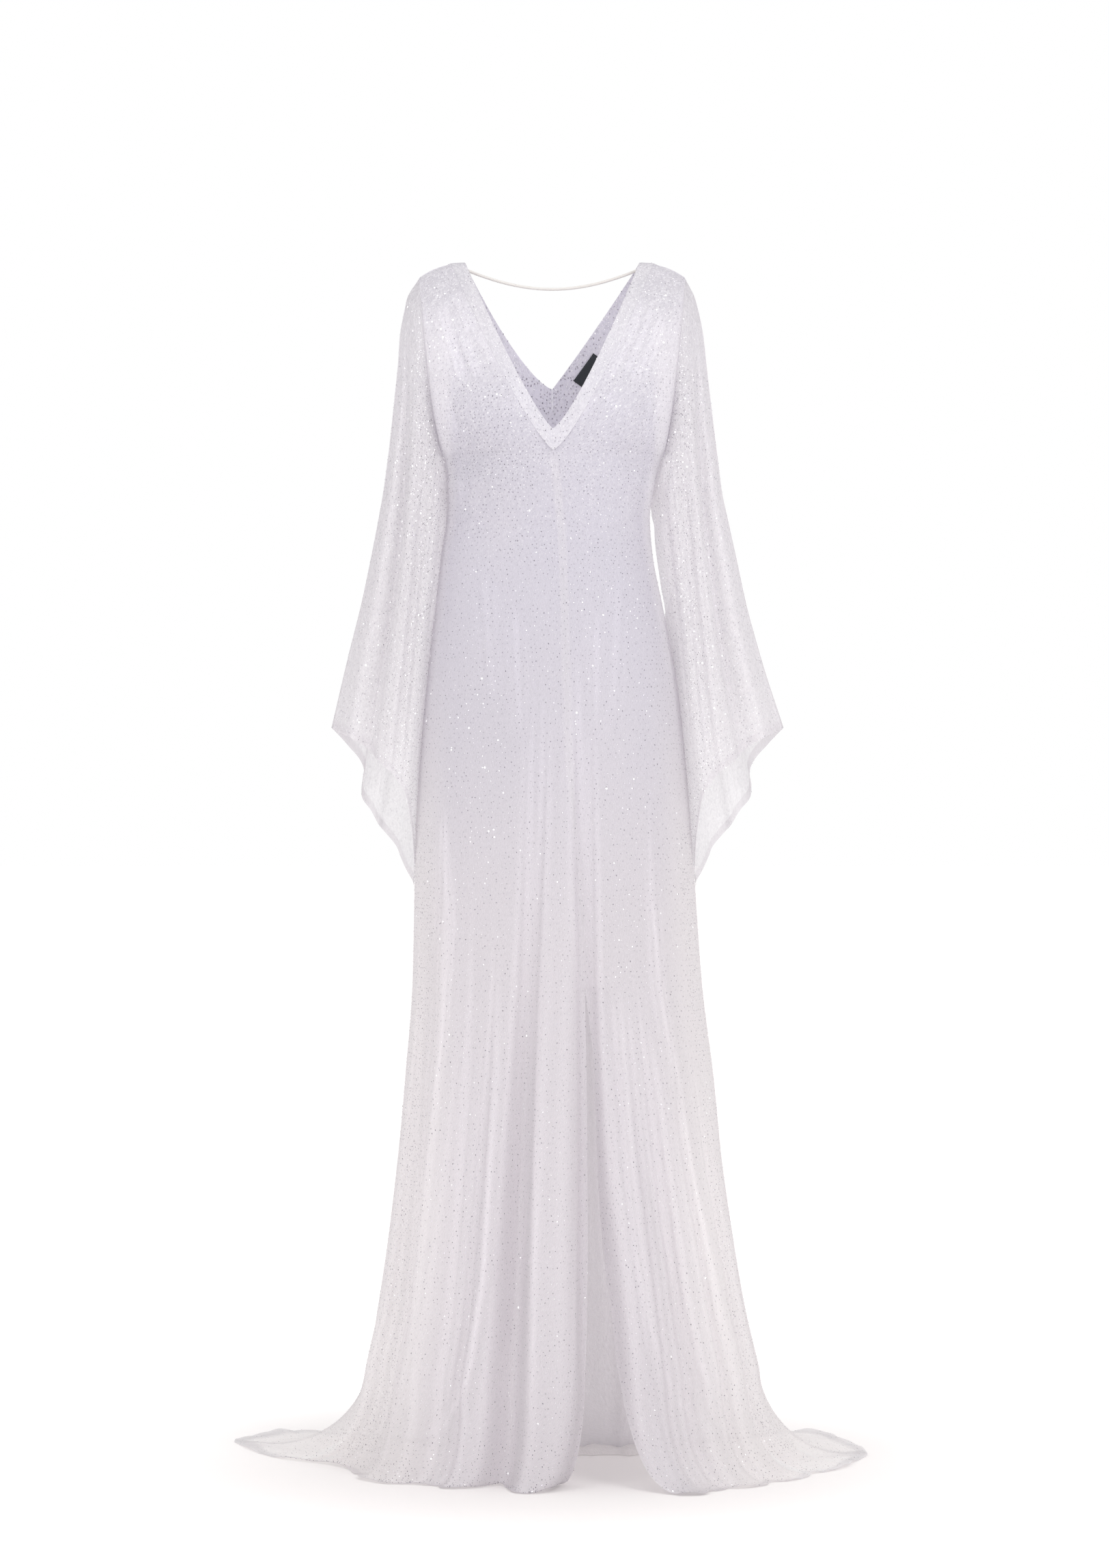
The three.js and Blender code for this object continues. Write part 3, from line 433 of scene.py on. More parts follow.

# %% [markdown]
# ## Creases
# Creases are pressed and pulled lines that don't follow the drape: slanted tucks from the
# shoulder to the bust, small pulls at the waist, and the crisp edges where the skirt breaks into
# folds. Each is drawn as a bent line on the cloth: its half width and how far it stands out,
# then its points, in millimetres across and up. It fades out towards both ends.

# %% Creases of the front
FRONT_CREASES = [
    (6, 2.8, (-136, 1545), (-120, 1520), (-106, 1480)),
    (6, -3.0, (-142, 1533), (-124, 1465), (-108, 1422)),
    (5, 2.6, (-150, 1520), (-131, 1465), (-116, 1410)),
    (5, 2.2, (-121, 1490), (-108, 1450), (-96, 1420)),
    (4, -1.6, (-94, 1490), (-76, 1458), (-57, 1432)),
    (6, -2.0, (-114, 1381), (-90, 1391), (-60, 1389), (-40, 1378)),
    (8, -2.4, (-150, 1440), (-132, 1380), (-124, 1300)),
    (6, 1.8, (-140, 1400), (-126, 1330), (-118, 1250)),
    (7, 2.8, (119, 1535), (100, 1475), (78, 1432), (62, 1415)),
    (6, -2.2, (134, 1530), (112, 1470), (92, 1425)),
    (5, 2.0, (144, 1515), (124, 1460), (106, 1410)),
    (6, -2.0, (26, 1366), (48, 1390), (73, 1398), (101, 1372)),
    (8, -2.4, (152, 1440), (136, 1380), (128, 1300)),
    (6, 1.8, (140, 1390), (128, 1325), (120, 1250)),
    (7, 1.4, (-116, 1262), (-84, 1250), (-50, 1246)),
    (6, -1.2, (-108, 1238), (-76, 1230), (-44, 1228)),
    (7, 1.4, (112, 1258), (82, 1246), (48, 1240)),
    (6, -1.2, (106, 1236), (74, 1228), (40, 1226)),
    (9, 1.8, (-92, 1190), (-86, 1090), (-78, 990)),
    (8, -1.6, (-52, 1150), (-48, 1050), (-42, 940)),
    (9, 1.8, (84, 1180), (80, 1080), (74, 970)),
    (8, -1.5, (56, 1140), (54, 1040), (52, 930)),
    (7, 2.6, (-134, 900), (-139, 750), (-153, 490), (-181, 180), (-214, 55)),
    (6, -2.6, (-142, 890), (-147, 740), (-163, 480), (-192, 180), (-224, 60)),
    (4, 2.0, (-141, 880), (-144, 740), (-148, 610)),
    (7, 3.0, (-69, 620), (-92, 262), (-120, 98), (-182, 30)),
    (6, -2.6, (-78, 610), (-101, 262), (-130, 100), (-190, 36)),
    (6, 2.4, (-221, 420), (-231, 195), (-260, 55)),
    (6, -2.2, (-229, 400), (-240, 190), (-268, 60)),
    (7, 2.6, (82, 660), (99, 415), (139, 96)),
    (6, -2.4, (75, 640), (91, 415), (130, 90)),
    (7, 2.6, (122, 600), (168, 240), (206, 82), (280, 30)),
    (6, -2.4, (115, 580), (160, 240), (197, 84), (270, 34)),
    (6, 2.2, (121, 880), (134, 640), (165, 460), (185, 340), (220, 150), (300, 40)),
    (6, -2.2, (-12, 1080), (-18, 860), (-30, 580), (-50, 40)),
    (5, 1.8, (-4, 1060), (-8, 860), (-18, 580), (-36, 60)),
    (5, 1.8, (16, 1050), (22, 860), (28, 620), (32, 300)),
]
print(len(FRONT_CREASES), "creases in front")

# %% Creases of the back
BACK_CREASES = [
    (7, 2.8, (-146, 1540), (-124, 1470), (-104, 1404)),
    (5, -2.4, (-130, 1548), (-110, 1480), (-92, 1424)),
    (5, 2.0, (-112, 1520), (-94, 1470), (-78, 1420)),
    (6, -2.6, (-156, 1480), (-140, 1420), (-126, 1370)),
    (7, 2.2, (-138, 1400), (-126, 1350), (-112, 1300)),
    (7, 2.8, (148, 1540), (128, 1470), (108, 1400)),
    (5, -2.4, (132, 1546), (112, 1480), (96, 1420)),
    (5, 2.0, (114, 1520), (98, 1470), (82, 1416)),
    (6, -2.6, (156, 1476), (142, 1420), (128, 1366)),
    (7, 2.2, (136, 1396), (124, 1350), (112, 1300)),
    (6, 1.6, (-108, 1256), (-76, 1242), (-40, 1236)),
    (5, -1.2, (-96, 1232), (-60, 1226), (-30, 1222)),
    (6, 1.6, (104, 1252), (70, 1240), (36, 1234)),
    (9, 1.8, (-70, 1180), (-66, 1080), (-60, 960)),
    (9, -1.6, (22, 1170), (24, 1060), (20, 940)),
    (9, 1.8, (76, 1176), (74, 1080), (68, 960)),
    (8, 2.4, (-128, 900), (-140, 640), (-170, 320), (-220, 90)),
    (6, -2.2, (-138, 880), (-150, 640), (-182, 320), (-232, 90)),
    (8, 2.6, (-52, 860), (-66, 560), (-86, 240), (-110, 60)),
    (6, -2.2, (-62, 840), (-76, 560), (-98, 240), (-122, 60)),
    (8, 2.4, (40, 880), (52, 600), (66, 260), (80, 60)),
    (6, -2.2, (50, 860), (62, 600), (78, 260), (92, 60)),
    (8, 2.6, (120, 900), (134, 620), (164, 300), (214, 80)),
    (6, -2.2, (130, 880), (144, 620), (176, 300), (226, 80)),
]
print(len(BACK_CREASES), "creases behind")

# %% Measure the cloth against the creases
# A crease has its full height between these shares of its length.
CREASE_FULL_FROM, CREASE_FULL_TO = 0.25, 0.72


def creased(creases, x, height):
    """How far the creases push each point out, with every crease faded in and out."""
    push = np.zeros(np.broadcast(x, height).shape)
    for width, depth, *route in creases:
        route = np.array(route, float)
        spans = np.hypot(*np.diff(route, axis=0).T)
        starts = np.concatenate([[0], np.cumsum(spans)])
        nearest = np.full(push.shape, 1e9)
        travelled = np.zeros(push.shape)
        for a, b, span, start in zip(route, route[1:], spans, starts):
            forward = (x - a[0]) * (b[0] - a[0]) + (height - a[1]) * (b[1] - a[1])
            t = np.clip(forward / span**2, 0, 1)
            away = np.hypot(x - a[0] - t * (b[0] - a[0]), height - a[1] - t * (b[1] - a[1]))
            closer = away < nearest
            nearest = np.where(closer, away, nearest)
            travelled = np.where(closer, start + t * span, travelled)
        along = travelled / starts[-1]
        fade = ease(0, CREASE_FULL_FROM, along) * (1 - ease(CREASE_FULL_TO, 1, along))
        push += depth * fade * np.exp(-((nearest / width) ** 2))
    return push


print("a crease's middle stands out", creased(FRONT_CREASES[:1], -120.0, 1520.0).round(1), "mm")

# %% [markdown]
# ## Making a panel
# A panel is a grid of points: rows from the hem to the shoulder, columns from seam to seam. The
# grid is turned into a mesh of quads, with a UV map in metres, so that knit and sequins keep
# their real size wherever the cloth goes.

# %% Grid helpers
YOKE_SHIFT = {"across": -3.0, "low": 1180, "high": 1450}


def settle(points):
    """Millimetres above the floor become metres from the shoulders."""
    moved = np.array(points, float)
    share = ease(YOKE_SHIFT["low"], YOKE_SHIFT["high"], moved[..., 2])
    moved[..., 0] += YOKE_SHIFT["across"] * share
    moved[..., 2] -= SHOULDER_HEIGHT
    return moved / 1000


def grid_normals(points, around=False):
    if around:
        across = np.roll(points, -1, axis=1) - np.roll(points, 1, axis=1)
    else:
        across = np.gradient(points, axis=1)
    normals = np.cross(across, np.gradient(points, axis=0))
    length = np.linalg.norm(normals, axis=-1, keepdims=True)
    return normals / np.maximum(length, 1e-9)


def grid_arcs(points, around=False):
    closed = np.concatenate([points, points[:, :1]], axis=1) if around else points
    across = np.linalg.norm(np.diff(closed, axis=1), axis=-1)
    u = np.concatenate([np.zeros((len(points), 1)), np.cumsum(across, axis=1)], axis=1)
    steps = np.linalg.norm(np.diff(points, axis=0), axis=-1).mean(axis=1)
    v = np.concatenate([[0], np.cumsum(steps)])
    return u, v


def mesh_piece(name, points, faces, material):
    mesh = bpy.data.meshes.new(name)
    mesh.from_pydata(points, [], faces)
    mesh.materials.append(material)
    piece = bpy.data.objects.new(name, mesh)
    bpy.context.scene.collection.objects.link(piece)
    return piece


def grid_mesh(name, points, material, around=False, look=None):
    rows, columns = points.shape[:2]
    index = np.arange(rows * columns).reshape(rows, columns)
    if around:
        index = np.concatenate([index, index[:, :1]], axis=1)
    quads = np.stack([index[:-1, :-1], index[:-1, 1:], index[1:, 1:], index[1:, :-1]], axis=-1)
    piece = mesh_piece(name, points.reshape(-1, 3).tolist(), quads.reshape(-1, 4).tolist(), material)
    u, v = grid_arcs(points, around)
    flat = np.stack(np.broadcast_arrays(u, v[:, None]), axis=-1)
    corners = np.stack([flat[:-1, :-1], flat[:-1, 1:], flat[1:, 1:], flat[1:, :-1]], axis=2)
    piece.data.uv_layers.new(name="cloth_metres").data.foreach_set("uv", corners.reshape(-1))
    if look is None:
        look = (*DOUBLED, 0.9)
    colours = np.broadcast_to(look, (rows, columns, 4)).astype(np.float32)
    layer = piece.data.color_attributes.new("look", "FLOAT_COLOR", "POINT")
    layer.data.foreach_set("color", colours.reshape(-1))
    piece.data.shade_smooth()
    return piece


print("the yoke stands", -YOKE_SHIFT["across"], "mm towards the wearer's right")

# %% [markdown]
# ## How the colour changes over the gown
# One cloth, and yet not one colour: it looks cool lilac where it is doubled over shade at the
# bodice, rosy white on the skirt, and almost white at the sides and the hem, where only one sheer
# layer lies over a bright floor. Each point of the cloth is given a colour and a cover here. Ridges
# face the light, and hollows glow through their sheer sides, so the cloth is made a little lighter
# wherever it bends.

# %% Colours of the cloth
LILAC = np.array((0.672, 0.652, 0.722))
ROSE = np.array((0.712, 0.680, 0.702))
COOL = np.array((0.760, 0.742, 0.768))
PALE = np.array((0.830, 0.808, 0.830))
WARM = np.array((0.905, 0.875, 0.870))
DOUBLED = np.array((0.880, 0.865, 0.905))
# The inside of the back: a cool lilac of painted shade, lightened by painted light through the cloth.
INSIDE_LIGHT_AND_SHADE = np.array((0.895, 0.875, 0.960))


# The bend that the round body has by itself, and how much any other bend lightens the cloth.
ROUND_BODY = 1 / 150
RIDGE_GAIN, HOLLOW_GAIN, HOLLOW_START, MOST_LIGHT = 0.8, 1.3, 0.008, 0.10


def fold_light(points, normals, around=False, strength=2.4):
    """Above 1 on ridges, which face the light, and in hollows, which glow through sheer sides."""
    if around:
        ahead, behind = np.roll(points, -1, axis=1), np.roll(points, 1, axis=1)
    else:
        ahead = np.concatenate([points[:, 1:], points[:, -1:]], axis=1)
        behind = np.concatenate([points[:, :1], points[:, :-1]], axis=1)
    step = np.linalg.norm(ahead - behind, axis=-1) / 2
    bend = -((ahead - 2 * points + behind) * normals).sum(axis=-1) / np.maximum(step, 0.5) ** 2
    if not around:
        bend[:, 0], bend[:, -1] = bend[:, 1], bend[:, -2]
    for _ in range(2):
        bend[:, 1:-1] = (bend[:, :-2] + 2 * bend[:, 1:-1] + bend[:, 2:]) / 4
    bend = bend - ROUND_BODY
    gain = np.where(bend > 0, RIDGE_GAIN * bend, -HOLLOW_GAIN * bend - HOLLOW_START)
    return 1 + np.clip(strength * gain, 0, MOST_LIGHT)


print("lilac", LILAC, "rose", ROSE, "warm", WARM)

# %% [markdown]
# ## The bright edges of the folds
# Where the skirt breaks into folds, each crisp edge holds a thin line of light, with soft shade
# beside it. The room is so evenly white that the shape alone shows this too faintly, so it is
# helped along here. Each row is a bent line drawn like a crease: its half width, the share by
# which it lightens the cloth, or darkens it below 0, then its points across and up.

# %% Edges that hold the light
FOLD_EDGES = [
    (2.4, 0.120, (-154, 920), (-136, 723), (-145, 576), (-160, 457), (-178, 279), (-186, 184),
     (-219, 20)),
    (2.4, 0.090, (-148, 900), (-129, 723), (-138, 576), (-152, 457)),
    (2.4, 0.100, (-76, 560), (-83, 421), (-91, 279), (-106, 160), (-124, 107), (-178, 18)),
    (2.6, 0.110, (-14, 760), (-18, 664), (-24, 457), (-26, 279), (-29, 131), (-26, 0)),
    (2.4, 0.090, (24, 900), (27, 783), (29, 516), (27, 279), (23, 101), (15, 0)),
    (2.4, 0.090, (122, 960), (124, 753), (134, 676), (142, 605), (163, 504), (181, 386),
     (214, 226), (255, 90)),
    (2.4, 0.055, (112, 500), (116, 462), (140, 326), (178, 172), (237, 54)),
    (2.6, 0.060, (88, 380), (95, 338), (119, 220), (155, 112), (214, 47)),
    (2.2, 0.050, (-120, 1490), (-132, 1400), (-128, 1320)),
    (2.2, 0.050, (118, 1480), (126, 1400), (122, 1320)),
    (9, -0.034, (-128, 723), (-136, 576), (-151, 457), (-168, 279), (-177, 184), (-208, 41)),
    (9, -0.030, (-74, 500), (-76, 421), (-83, 279), (-98, 160), (-116, 107), (-165, 18)),
    (10, -0.048, (-30, 664), (-36, 457), (-38, 279), (-41, 131), (-40, 20)),
    (9, -0.040, (132, 753), (142, 676), (150, 605), (172, 504), (190, 386), (224, 226), (264, 90)),
    (8, -0.035, (104, 462), (128, 326), (166, 172), (226, 54)),
]
print(len(FOLD_EDGES), "edges of light and shade")

# %% Colour and cover of the body
# Soft patches of shade: strength, middle and size, in millimetres across and up.
BODY_SHADE = [(1.0, (-92, 1318), (62, 78)), (0.5, (-80, 1010), (70, 150))]
SHADE_DEPTH = 0.09
SEAM_GLOW = 0.34


def mixed(a, b, share):
    return a + (b - a) * np.asarray(share)[..., None]


def below(low, high, height):
    """1 under the low height, easing to 0 at the high one."""
    return 1 - ease(low, high, height)


def body_colour(x, height, out, side, beside_sleeve):
    """Lilac above and rosy below, paler towards the shoulders, at the sides and on the floor. Painted
    light lifts the low skirt and the cloth beside the sleeves; painted shade darkens the shoulder tops.
    """
    colour = mixed(LILAC, ROSE, below(640, 1180, height) * 0.85)
    # Painted light: the skirt is made lighter towards the hem, where the bright floor lights it.
    colour = colour * (1 + 0.06 * below(150, 700, height))[..., None]
    colour = mixed(colour, WARM, 0.82 * side * below(600, 1250, height))
    colour = mixed(colour, PALE, 0.5 * ease(1340, 1480, height))
    # Painted shade: the top of the shoulders is made darker, to temper the lamp overhead.
    colour = colour * (1 - 0.12 * ease(1480, 1560, height))[..., None]
    # Painted light beside the sleeves, in the cleft between sleeve and body that would be in shade.
    colour = mixed(colour, PALE * 1.14, 0.8 * beside_sleeve)
    shade = 0
    for share, middle, size in BODY_SHADE:
        away = ((x - middle[0]) / size[0]) ** 2, ((height - middle[1]) / size[1]) ** 2
        shade = shade + share * np.exp(-away[0] - away[1])
    colour = colour * (1 - SHADE_DEPTH * shade)[..., None]
    return mixed(colour, WARM * 1.12, below(0, 110, height) * ease(0.9, 1.25, out))


def body_cover(height, out, side, beside_sleeve):
    """Nearly opaque where the gown is double in depth, and sheer at its sides."""
    cover = mix(0.965, 0.86, side * below(900, 1300, height))
    cover = mix(cover, 0.68, side * below(100, 800, height))
    cover = mix(cover, 0.64, below(0, 100, height) * ease(0.9, 1.3, out))
    return cover - 0.25 * beside_sleeve


def body_look(points, normals):
    """Colour and cover of the body, by height and by how near the side seam it is."""
    x, height = points[..., 0], points[..., 2]
    out = np.abs(x) / body_half(height, x)
    side = ease(mix(0.45, 0.7, ease(200, 900, height)), 0.98, out)
    beside_sleeve = ease(0.88, 1.0, out) * ease(900, 1100, height) * below(1450, 1540, height)
    colour = body_colour(x, height, out, side, beside_sleeve) * fold_light(points, normals)[..., None]
    if points[..., 1].mean() < 0:
        colour = colour * (1 + creased(FOLD_EDGES, x, height))[..., None]
    cover = body_cover(height, out, side, beside_sleeve)
    return np.concatenate([np.minimum(colour, 1), cover[..., None]], axis=-1)


def seam_light(look, points, column, reach=5.5):
    """Lightens the cloth beside one edge, where turned-in cloth lies behind it."""
    u, _ = grid_arcs(points)
    away = np.abs(u - u[:, column][:, None])
    band = (1 - ease(reach - 1.5, reach + 1.5, away)) * below(1318, 1334, points[..., 2])
    lit = look.copy()
    lit[..., :3] = mixed(look[..., :3], PALE * 1.02, SEAM_GLOW * band)
    return lit


print("the cloth is", SHADE_DEPTH, "darker in the deepest shade")

# %% [markdown]
# ## The knit
# The cloth is a fine sheer jersey in a cool white with a hint of lilac. Light does three things
# to it: some goes straight between the loops, some soaks through and glows, and the rest is
# scattered back. So the material mixes a see-through part, a translucent part and an ordinary
# soft one. Noise at several sizes keeps it from looking like plastic: broad drifts of lilac and
# rose, fine upright wales, and a painted sparkle grain. Tiny light and dark flecks stand for the
# glitter too fine to model, the light ones as painted glints, more on the bodice than the skirt.

# %% Noise, ranges and blends for materials
def noise(nodes, links, where, scale, detail=3.0, stretch=(1, 1, 1)):
    mapping = nodes.new("ShaderNodeMapping")
    mapping.inputs["Scale"].default_value = stretch
    texture = nodes.new("ShaderNodeTexNoise")
    texture.inputs["Scale"].default_value = scale
    texture.inputs["Detail"].default_value = detail
    links.new(where, mapping.inputs["Vector"])
    links.new(mapping.outputs["Vector"], texture.inputs["Vector"])
    return texture.outputs["Fac"]


def spread(nodes, links, value, low, high, from_low=0.3, from_high=0.7):
    ranged = nodes.new("ShaderNodeMapRange")
    ranged.inputs["From Min"].default_value = from_low
    ranged.inputs["From Max"].default_value = from_high
    ranged.inputs["To Min"].default_value = low
    ranged.inputs["To Max"].default_value = high
    links.new(value, ranged.inputs["Value"])
    return ranged.outputs["Result"]


def blend_colours(nodes, links, share, first, second):
    blend = nodes.new("ShaderNodeMix")
    blend.data_type = "RGBA"
    links.new(share, blend.inputs[0])
    for socket, colour in ((blend.inputs[6], first), (blend.inputs[7], second)):
        if isinstance(colour, tuple):
            socket.default_value = (*colour, 1)
        else:
            links.new(colour, socket)
    return blend.outputs[2]


def product(nodes, links, first, second):
    times = nodes.new("ShaderNodeMath")
    times.operation = "MULTIPLY"
    links.new(first, times.inputs[0])
    links.new(second, times.inputs[1])
    return times.outputs["Value"]


KNIT_COLOURS = {"drift": (0.74, 0.705, 0.735), "speck": (0.90, 0.89, 0.93)}
print("the knit drifts towards", KNIT_COLOURS["drift"])

# %% Flecks of glitter
FLECK_SCALE = 430
FLECKS_GROW_FROM, FLECKS_GROW_TO = -0.42, -0.12
# Light flecks, painted glints, and dark ones: how their share runs over the cells' values, and their
# colour.
FLECKS = [((0.0, 1.0, 0.55, 0.95), (0.95, 0.94, 0.96)), ((0.5, 0.0, 0.05, 0.40), (0.46, 0.45, 0.51))]


def flecked(nodes, links, uv, place, colour, glitter, low_glitter):
    """Painted glints as light flecks, and dark flecks, whose amount grows from the hips up to the bust."""
    cells = nodes.new("ShaderNodeTexVoronoi")
    cells.voronoi_dimensions = "2D"
    cells.inputs["Scale"].default_value = FLECK_SCALE
    links.new(uv, cells.inputs["Vector"])
    height = nodes.new("ShaderNodeSeparateXYZ")
    links.new(place, height.inputs["Vector"])
    amount = spread(
        nodes, links, height.outputs["Z"], low_glitter, glitter, FLECKS_GROW_FROM, FLECKS_GROW_TO)
    for ranges, tint in FLECKS:
        share = product(nodes, links, spread(nodes, links, cells.outputs["Color"], *ranges), amount)
        colour = blend_colours(nodes, links, share, colour, tint)
    return colour


print("flecks are about", round(1000 / FLECK_SCALE, 1), "mm apart")

# %% A sheer knit material
def make_knit(name, through, glitter, low_glitter):
    material, nodes, links, shader = new_material(name)
    uv = nodes.new("ShaderNodeUVMap").outputs["UV"]
    place = nodes.new("ShaderNodeTexCoord").outputs["Object"]
    look = nodes.new("ShaderNodeAttribute")
    look.attribute_name = "look"
    broad = noise(nodes, links, place, scale=7.0, detail=3, stretch=(1, 1, 0.45))
    drift = spread(nodes, links, broad, 0.0, 0.30)
    colour = blend_colours(nodes, links, drift, look.outputs["Color"], KNIT_COLOURS["drift"])
    # Painted sparkle: a fine grain of lighter specks.
    grain = noise(nodes, links, uv, scale=900, detail=2)
    speck = spread(nodes, links, grain, 0, 0.35, 0.5, 0.74)
    colour = blend_colours(nodes, links, speck, colour, KNIT_COLOURS["speck"])
    colour = flecked(nodes, links, uv, place, colour, glitter, low_glitter)
    wales = noise(nodes, links, uv, scale=260, detail=2, stretch=(4.0, 0.7, 1))
    bump = add_bump(nodes, links, shader, wales, strength=0.35, distance=0.0006)
    links.new(colour, shader.inputs["Base Color"])
    links.new(spread(nodes, links, grain, 0.42, 0.7), shader.inputs["Roughness"])
    shader.inputs["Sheen Weight"].default_value = 0.3
    shader.inputs["Sheen Roughness"].default_value = 0.4
    glow = nodes.new("ShaderNodeBsdfTranslucent")
    links.new(colour, glow.inputs["Color"])
    links.new(bump.outputs["Normal"], glow.inputs["Normal"])
    cloth = nodes.new("ShaderNodeMixShader")
    cloth.inputs[0].default_value = through
    links.new(shader.outputs["BSDF"], cloth.inputs[1])
    links.new(glow.outputs["BSDF"], cloth.inputs[2])
    clear = nodes.new("ShaderNodeBsdfTransparent")
    gaps = spread(nodes, links, wales, 0.93, 1.05, 0.35, 0.65)
    sheer = nodes.new("ShaderNodeMixShader")
    links.new(product(nodes, links, gaps, look.outputs["Alpha"]), sheer.inputs[0])
    links.new(clear.outputs["BSDF"], sheer.inputs[1])
    links.new(cloth.outputs["Shader"], sheer.inputs[2])
    links.new(sheer.outputs["Shader"], nodes["Material Output"].inputs["Surface"])
    return material


body_knit = make_knit("glitter_knit", through=0.34, glitter=0.55, low_glitter=0.07)
sleeve_knit = make_knit("glitter_knit_sleeves", through=0.42, glitter=0.6, low_glitter=0.5)
band_knit = make_knit("doubled_knit", through=0.28, glitter=0.55, low_glitter=0.4)
turned_knit = make_knit("turned_hem_knit", through=0.34, glitter=0.3, low_glitter=0.15)
print("knits:", body_knit.name, sleeve_knit.name, band_knit.name, turned_knit.name)

# %% [markdown]
# ## The two fronts
# The front is cut in two halves, joined by a seam down the middle that opens into the slit. Rows
# run from the hem, up over the sweep on the floor and the skirt, to the yoke and the shoulder.
# Between the skirt and the yoke a few rows are eased together, so that no line shows there.

# %% Rows of the lower gown
SWEEPS = np.linspace(1, 0, 30)[:-1]
SKIRT_TOP, SLIT_TOP = 1292, 640
SKIRT_HEIGHTS = np.linspace(FLARE_HEIGHT, SKIRT_TOP, 210)
EASED = 7
SMOOTHED_BELOW, SMOOTHED_ABOVE, SMOOTHINGS = 16, 14, 90


def seam_angle(height):
    return read(SEAM, "height", "angle", height)


def slit_angle(height):
    return np.where(height >= SLIT_TOP, seam_angle(height), read(SLIT, "height", "angle", height))


def lower_rows(shares, start, end):
    rows = []
    for sweep in SWEEPS:
        height = FLARE_HEIGHT * (1 - sweep)
        rows.append(sweep_point(mix(start(height), end(height), shares), np.full(len(shares), sweep)))
    for height in SKIRT_HEIGHTS:
        angle = mix(start(height), end(height), shares)
        rows.append(body_point(angle, np.full(len(shares), height)))
    return np.array(rows)


def join_rows(lower, upper):
    """Puts the yoke on the lower gown, with eased rows between them, and smooths the join."""
    steps = np.arange(1, EASED)[:, None, None] / EASED
    between = lower[-1] + (upper[0] - lower[-1]) * steps
    rows = np.concatenate([lower, between, upper])
    first, last = len(lower) - SMOOTHED_BELOW, len(lower) + EASED + SMOOTHED_ABOVE
    depth = rows[..., 1]
    share = 0.5 * np.sin(np.linspace(0, np.pi, last - first))[:, None]
    for _ in range(SMOOTHINGS):
        middle = depth[first:last]
        level = (depth[first - 1:last - 1] + depth[first + 1:last + 1]) / 2
        depth[first:last] = middle + share * (level - middle)
    return rows


print(len(SWEEPS) + len(SKIRT_HEIGHTS), "rows below the yoke")

# %% Shape the fronts
FRONT_RISES = np.linspace(0, 1, 66) ** 0.97
RIGHT_COLUMNS, LEFT_COLUMNS = 132, 118
HEM_WAVES = [(1.4, 27, 45, 0), (1.0, 15.5, -31, 1.7), (0.5, 8.1, 9, 0)]
WAVE_LIFT, WAVE_REACH, LOWEST_CLOTH = 1.5, 26.0, 1.0
CREASE_MARGIN = 6.0


def front_rows(side, columns):
    shares = np.linspace(0, 1, columns)
    inner_edge = seam_angle if side < 0 else slit_angle
    lower = lower_rows(shares, inner_edge, lambda height: side * 90.0)
    upper = yoke_rows(FRONT_NECK, side, FRONT_RISES, shares)
    upper[..., 0] *= side
    rows = join_rows(lower, upper)
    return rows if side > 0 else rows[:, ::-1]


def ripple(points):
    """The hem's own small waves, strongest at the edge and gone a hand's width above it."""
    _, v = grid_arcs(points)
    x, y = points[..., 0], points[..., 1]
    wave = sum(size * np.sin(x / across + y / back + start) for size, across, back, start in HEM_WAVES)
    fade = np.exp(-(v / WAVE_REACH) ** 1.5)[:, None]
    lifted = points.copy()
    lifted[..., 2] = np.maximum(lifted[..., 2] + np.abs(wave) * fade * WAVE_LIFT, LOWEST_CLOTH)
    return lifted


def dress_panel(points, creases):
    """Adds the creases and the hem's ripple to a panel, along its own normals."""
    normals = grid_normals(points)
    middle = len(points) // 2
    if normals[middle, :, 1].mean() * points[middle, :, 1].mean() < 0:
        normals = -normals
    push = creased(creases, points[..., 0], points[..., 2])
    edge = np.minimum(np.arange(points.shape[1]), np.arange(points.shape[1])[::-1])
    push = push * np.minimum(1, edge / CREASE_MARGIN)
    return ripple(points + normals * push[..., None]), normals


front_right_mm, front_right_out = dress_panel(front_rows(-1, RIGHT_COLUMNS), FRONT_CREASES)
front_left_mm, front_left_out = dress_panel(front_rows(1, LEFT_COLUMNS), FRONT_CREASES)
right_look = seam_light(body_look(front_right_mm, front_right_out), front_right_mm, -1)
left_look = seam_light(body_look(front_left_mm, front_left_out), front_left_mm, 0)
front_right = grid_mesh("front_right_knit", settle(front_right_mm), body_knit, look=right_look)
front_left = grid_mesh("front_left_knit", settle(front_left_mm), body_knit, look=left_look)
for piece, node in ((front_right, "front_right"), (front_left, "front_left")):
    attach(piece, "root")
    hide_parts(node)
print("fronts:", len(front_right.data.vertices), len(front_left.data.vertices), "points")

# %% [markdown]
# ## The back
# The back is one piece, cut on the fold. Its yoke splits round the V, so the grid splits too: a
# lower part from side seam to side seam, and a left and a right part above the tip of the V.

# %% Shape the back
BACK_HALF = 96
BRIDGE_ROWS, BACK_SIDE_ROWS = 18, 54
BACK_TIP_RISE = (BACK_NECK["band_tip"] - UNDERARM_HEIGHT) / (NECK_POINT_HEIGHT - UNDERARM_HEIGHT)


